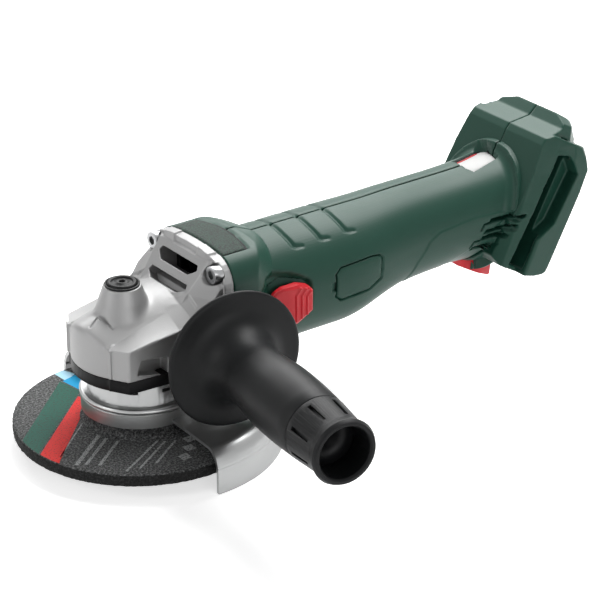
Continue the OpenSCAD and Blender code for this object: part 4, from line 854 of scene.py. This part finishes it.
# From the threaded seat at the casting's side outwards, leaning forward a little.
HANDLE = (Matrix.Translation((22.6 * MM, -28.6 * MM, 44.9 * MM))
          @ Matrix.Rotation(math.radians(90), 4, "X") @ Matrix.Rotation(math.radians(-7.7), 4, "Y")
          @ Matrix.Translation((0, 0, 23.7 * MM)))
# Dark grey nylon with a soft eroded grain; pale where the light grazes it.
handle_nylon = moulded("black glass-filled nylon", "#131415", (0.4, 0.48), 0.6, 0.04)
# Outline (r, along the handle): collar, flange, waist, and the step that takes the sleeve.
grip = [(4.03, -18.2), (11.1, -18.2), (11.5, -17.8), (14.3, -4.4), (14.9, -3.9)]
grip += curve([(14.9, -3.9), (24, -3.5), (31.4, -2.9), (33.4, -1.8), (34.3, -0.4), (34.3, 0.6),
               (33.2, 1.4), (29.4, 1.9), (24.6, 2.9), (20.5, 5.4), (17.6, 9.6), (16, 14.5),
               (15.4, 20), (15.9, 28), (17.2, 44), (17.3, 60), (16.8, 72)])
grip += curve([(16.4, 79.2), (16.1, 79.6), (15.6, 79.7)], 3) + [(14, 79.9), (14, 90), (4.03, 90)]
piece(turned("handle_grip_moulding", grip, 160, HANDLE), "housing", handle_nylon, "handle_grip",
      slot="handle_plastic")
softened("handle_sleeve", handle_nylon, 0.35, "handle_plastic", angle=28)

# ---- Slide switch button ----
# Red ABS, slides forward in its recess in the left shell. Three chevron ridges give the thumb
# a hold; a rod behind it works the switch.


def sheet_of(name, outline, step, height, depth, place):
    """A moulded plate over an outline (u, v): raised by height(u, v, inside), with closed sides."""
    corners = np.array(outline, float)
    rim = []
    for a, b in zip(corners, np.roll(corners, -1, axis=0)):
        n = max(1, int(np.hypot(*(b - a)) / step))
        rim += [tuple(a + (b - a) * k / n) for k in range(n)]
    # A triangular grid of points, kept off the rim.
    u, v = np.meshgrid(np.arange(corners[:, 0].min(), corners[:, 0].max(), step),
                       np.arange(corners[:, 1].min(), corners[:, 1].max(), step * 0.87))
    u[::2] += step / 2
    well_in = inside_by(u, v, corners) > step * 0.55
    points = rim + list(zip(u[well_in], v[well_in]))
    edges = [(i, (i + 1) % len(rim)) for i in range(len(rim))]
    flat, _, faces, *_ = delaunay_2d_cdt([Vector(p) for p in points], edges, [], 1, 1e-5)
    uu, vv = np.array([p.x for p in flat]), np.array([p.y for p in flat])
    top = place(uu, vv, height(uu, vv, inside_by(uu, vv, corners)))
    low = place(uu[:len(rim)], vv[:len(rim)], np.full(len(rim), -depth))
    count, n = len(flat), len(rim)
    sides = [(i, (i + 1) % n, count + (i + 1) % n, count + i) for i in range(n)]
    mesh = bpy.data.meshes.new(name)
    mesh.from_pydata((np.concatenate((top, low)) * MM).tolist(), [],
                     [tuple(f) for f in faces] + sides + [tuple(range(count, count + n))])
    work = bmesh.new()
    work.from_mesh(mesh)
    bmesh.ops.recalc_face_normals(work, faces=work.faces)
    work.to_mesh(mesh)
    work.free()
    return mesh


THUMB = [(57.6, 45), (57.6, 58.3), (59.4, 59.7), (62.8, 61.0), (71.4, 61.1), (77.6, 58.9), (79.8, 56.4),
         (79.8, 45.4), (70.6, 40.6), (60, 40.6)]
THUMB_FACE = 30.3               # how far its base lies to the left of the middle
RIDGES = [[(71.9, 59.2), (69.3, 56), (69.3, 42.6)], [(75.2, 58.2), (72.6, 55.4), (72.6, 43.6)],
          [(78.4, 56.6), (75.8, 54.4), (75.8, 44.8)]]
RIDGE_RISE, RIDGE_WIDTH = 0.75, 0.62


def on_recess(u, v, h):
    """Places (x, z, height over the button's base) on the left side, in mm."""
    return np.stack((u, -THUMB_FACE - h, v), -1)


def thumb_height(u, v, inside):
    """Ramp up from the front, rounded rim, three ridges on the flat rear part."""
    h = 0.9 + 2.3 * ramp(u, 57, 68.5)
    for line in RIDGES:
        h += RIDGE_RISE * np.exp(-(from_line(u, v, line) / RIDGE_WIDTH) ** 4)
    return h - 0.9 * (1 - ramp(inside, 0, 1.3))


# Red ABS: even, half-gloss.
red_abs = moulded("red ABS", "#c8202a", (0.3, 0.4), 0.5, 0.02, 0.3)
thumb = sheet_of("thumb", THUMB, 0.32, thumb_height, 1.6, on_recess)
# The button's stem is kept from the solid; its plain outer face makes way for the thumb piece.
stem = cad_mesh("slide_button", "stem")
work = bmesh.new()
work.from_mesh(stem)
outer = [f for f in work.faces if min(v.co.y for v in f.verts) < (0.1 - THUMB_FACE) * MM]
bmesh.ops.delete(work, geom=outer, context="FACES")
work.to_mesh(stem)
work.free()
button = joined("slide_thumb_button", thumb, stem)
button = piece(button, "slide_switch", red_abs, "slide_button", slot="red_plastic")
button.modifiers.new("sharp", "EDGE_SPLIT").split_angle = math.radians(50)

# ---- Brush covers ----
# Small nylon doors over the carbon brushes, one on each side, in the shells' own green.
# Each is snapped in flush with the shell, and a notch at its front lets a blade lift it.


def on_flank(side):
    """Places (x, z, height over the plain shell) on the barrel's side."""
    def place(u, v, h):
        y = []
        for x, z in zip(u, v):
            line = half_section(x, 160)
            y.append(np.interp(-z, -line[:, 2], line[:, 1]))
        return np.stack((u, side * (np.array(y) + h), v), -1)
    return place


def door_height(u, v, inside):
    """Just under the shell's face, its rim rounded off."""
    return -0.2 - 0.5 * (1 - ramp(inside, 0, 0.7))


INNER_DOOR = [(100.5, 60.2), (119.6, 60.8), (125.3, 60.1), (126.4, 58.6), (125.2, 48.4), (117.9, 44.6),
              (99.8, 43.9), (96.8, 46.7), (97.4, 57.8)]
for side, half in ((-1, "left"), (1, "right")):
    door = sheet_of("brush_door_" + half, INNER_DOOR, 0.7, door_height, 1.6, on_flank(side))
    piece(door, "housing", nylon, "brush_cover_" + half, slot="body_shell")

# ---- Nameplate and window label ----
# A green printed plate across the collar's top, left plain, and a white label with a red edge
# in the window behind the grip. Both lie on a black sheet that paints the shade of their recess walls.


def plain(level):
    """A flat height with a rounded rim."""
    return lambda u, v, inside: level - 0.25 * (1 - ramp(inside, 0, 0.3))


def lean_at(x):
    """The lean of the section that reaches x on top of the body."""
    return float(np.interp(x, (166, 187, 207.5, 225), (0, 0.1, 0.3, 0.5)))


def top_height(x, y):
    """Height of the body's top at a place seen from above, with its lean taken into account.

    The section that reaches the place isn't known at first, so it is closed in on in steps.
    """
    z, w, bow = 81.0, 30.0, 0.0
    for _ in range(14):
        back = lean_at(x) * (z - MOTOR_Z) + bow * (1 - min(1.0, abs(y) / w) ** 3.6)
        w, top, _, corner, _, crown, bow, _ = station(x - back)
        reach = max(0.0, abs(y) - (w - corner))
        z = top - crown + crown * (1 - (y / w) ** 2)
        z -= corner - math.sqrt(max(corner ** 2 - reach ** 2, 0))
    return z


def on_top(u, v, h):
    """Places (x, y, height over the plain shell) on top of the body."""
    return np.stack((u, v, np.array([top_height(x, y) for x, y in zip(u, v)]) + h), -1)


# Printed film: dark green with a fine lighter speckle, under a satin coat.
green_film = ink("green printed film", "#34493f", 0.5)
# White and red printed film: even and half gloss.
white_film = moulded("white printed film", "#b9b9b8", (0.3, 0.36), 0.6, 0.01)
red_film = moulded("red printed film", "#b02028", (0.3, 0.36), 0.6, 0.01)
# Black sheet: dull; the dark line it makes round both plates is painted shade of their recess walls.
painted_shade_film = moulded("painted recess shade", "#060707", (0.5, 0.6), 0.6, 0.01, 0.15)

PLATE = [(34.6, -21.4), *[(47.9 + 2.6 * (1 - (y / 22) ** 2), y * 0.975) for y in range(-22, 23, 2)],
         (34.6, 21.4)]
# A black sheet whose rim shows round the nameplate: painted shade in the recess's gap.
film = sheet_of("nameplate_shade_sheet", NAMEPLATE, 1.2, plain(-0.5), 0.9, on_top)
piece(film, "housing", painted_shade_film, slot="green_label")
face = sheet_of("nameplate_face", PLATE, 1.2, plain(-0.15), 0.5, on_top)
piece(face, "housing", green_film, "nameplate", slot="green_label")

LABEL = [(200.3, 6.6), (205.6, 7.3), (216.6, 9.9), (220.6, 9.3), (221.3, 5.9), (218.3, -5.1), (201, -8),
         (199.3, -4.4)]
EDGE = [*LABEL[:3], (216.8, 7.8), (205.8, 5.4), (200.1, 4.9)]


def tray(u, v, inside):
    """The black sheet under the label, turned up along the window's far side, where it paints the shade
    of the recess wall.
    """
    return -1.75 + 1.4 * (1 - ramp(inside, 0.2, 0.9)) * ramp(v, 3, 6)


# A black sheet in the label's window: painted shade of the recess walls.
film = sheet_of("label_shade_sheet", WINDOW, 0.6, tray, 2.2, on_top)
piece(film, "housing", painted_shade_film, slot="white_label")
face = sheet_of("label_face", LABEL, 1.0, plain(-1.3), 1.6, on_top)
piece(face, "housing", white_film, "rating_plate", slot="white_label")
edge = sheet_of("label_edge", EDGE, 1.0, plain(-1.12), 1.25, on_top)
piece(edge, "housing", red_film, slot="white_label")

# ---- Catch under the grip ----
# Red ABS lever, moulded in one, under the rear end of the grip. It swings a few degrees
# about a steel pin that runs across both shells, against a spring.

softened("catch_lever", red_abs, 0.5, "red_plastic")

# ---- Terminal block and contacts ----
# Black nylon block, held between the shells in the foot's slot. Five brass blades are
# pressed in it and reach in the battery.

# Rolled brass: warm, bright, slightly tarnished.
brass = metal("rolled brass", "#b08d4a", (0.22, 0.36), 0.5, 0.01)
softened("terminal_block", black_nylon, 0.3, "black_plastic")
dress(brass, "contact_blades", "brush_holders")

# ---- Screws ----
# Black-oxide thread-forming screws hold the shells together and the bearing flange to the
# gear housing, and four long zinc-plated ones hold the gear housing to the shells.

# Black oxide: near black with a metal sheen.
black_oxide = metal("black oxide steel", "#26282a", (0.3, 0.42), 0.4, 0.01)
softened("housing_screws", black_oxide, 0.2, "black_screws")
softened("gear_housing_screws", plated_part, 0.3, "screw_steel")
dress(black_oxide, "flange_screws")

# ---- Motor and brush gear ----
# Two ferrite magnets in a steel can, an armature of stacked sheets with copper windings and
# commutator, carbon brushes in brass holders on a moulded plate.

# Enamelled copper: orange-brown, with the lay of the wire round the rotor.
copper = metal("enamelled copper wire", "#a4623a", (0.25, 0.38), 0.7, 0.1, (1, 0.2, 0.2))
# Sintered ferrite: charcoal and dull.
ferrite = metal("sintered ferrite", "#2e2d2f", (0.55, 0.68), 0.4, 0.03, metallic=0.1)
# Pressed carbon: black-grey, slightly glossy from running.
carbon = metal("pressed carbon", "#232324", (0.42, 0.55), 0.3, 0.02, metallic=0.1)
dress(copper, "windings", "commutator")
dress(ferrite, "magnets")
dress(carbon, "carbon_brushes")
dress(black_nylon, "cooling_fan", "air_baffle", "brush_plate", "switch_rod", "switch_block")

# ---- Control electronics ----
# A circuit board in a moulded polyamide tray, filled up with potting compound against dust
# and held between the shells.

# Potting compound and tray: black, half gloss, slightly wavy.
potting = moulded("potted polyamide tray", "#1f2122", (0.22, 0.34), 6, 0.2)
dress(potting, "control_module")
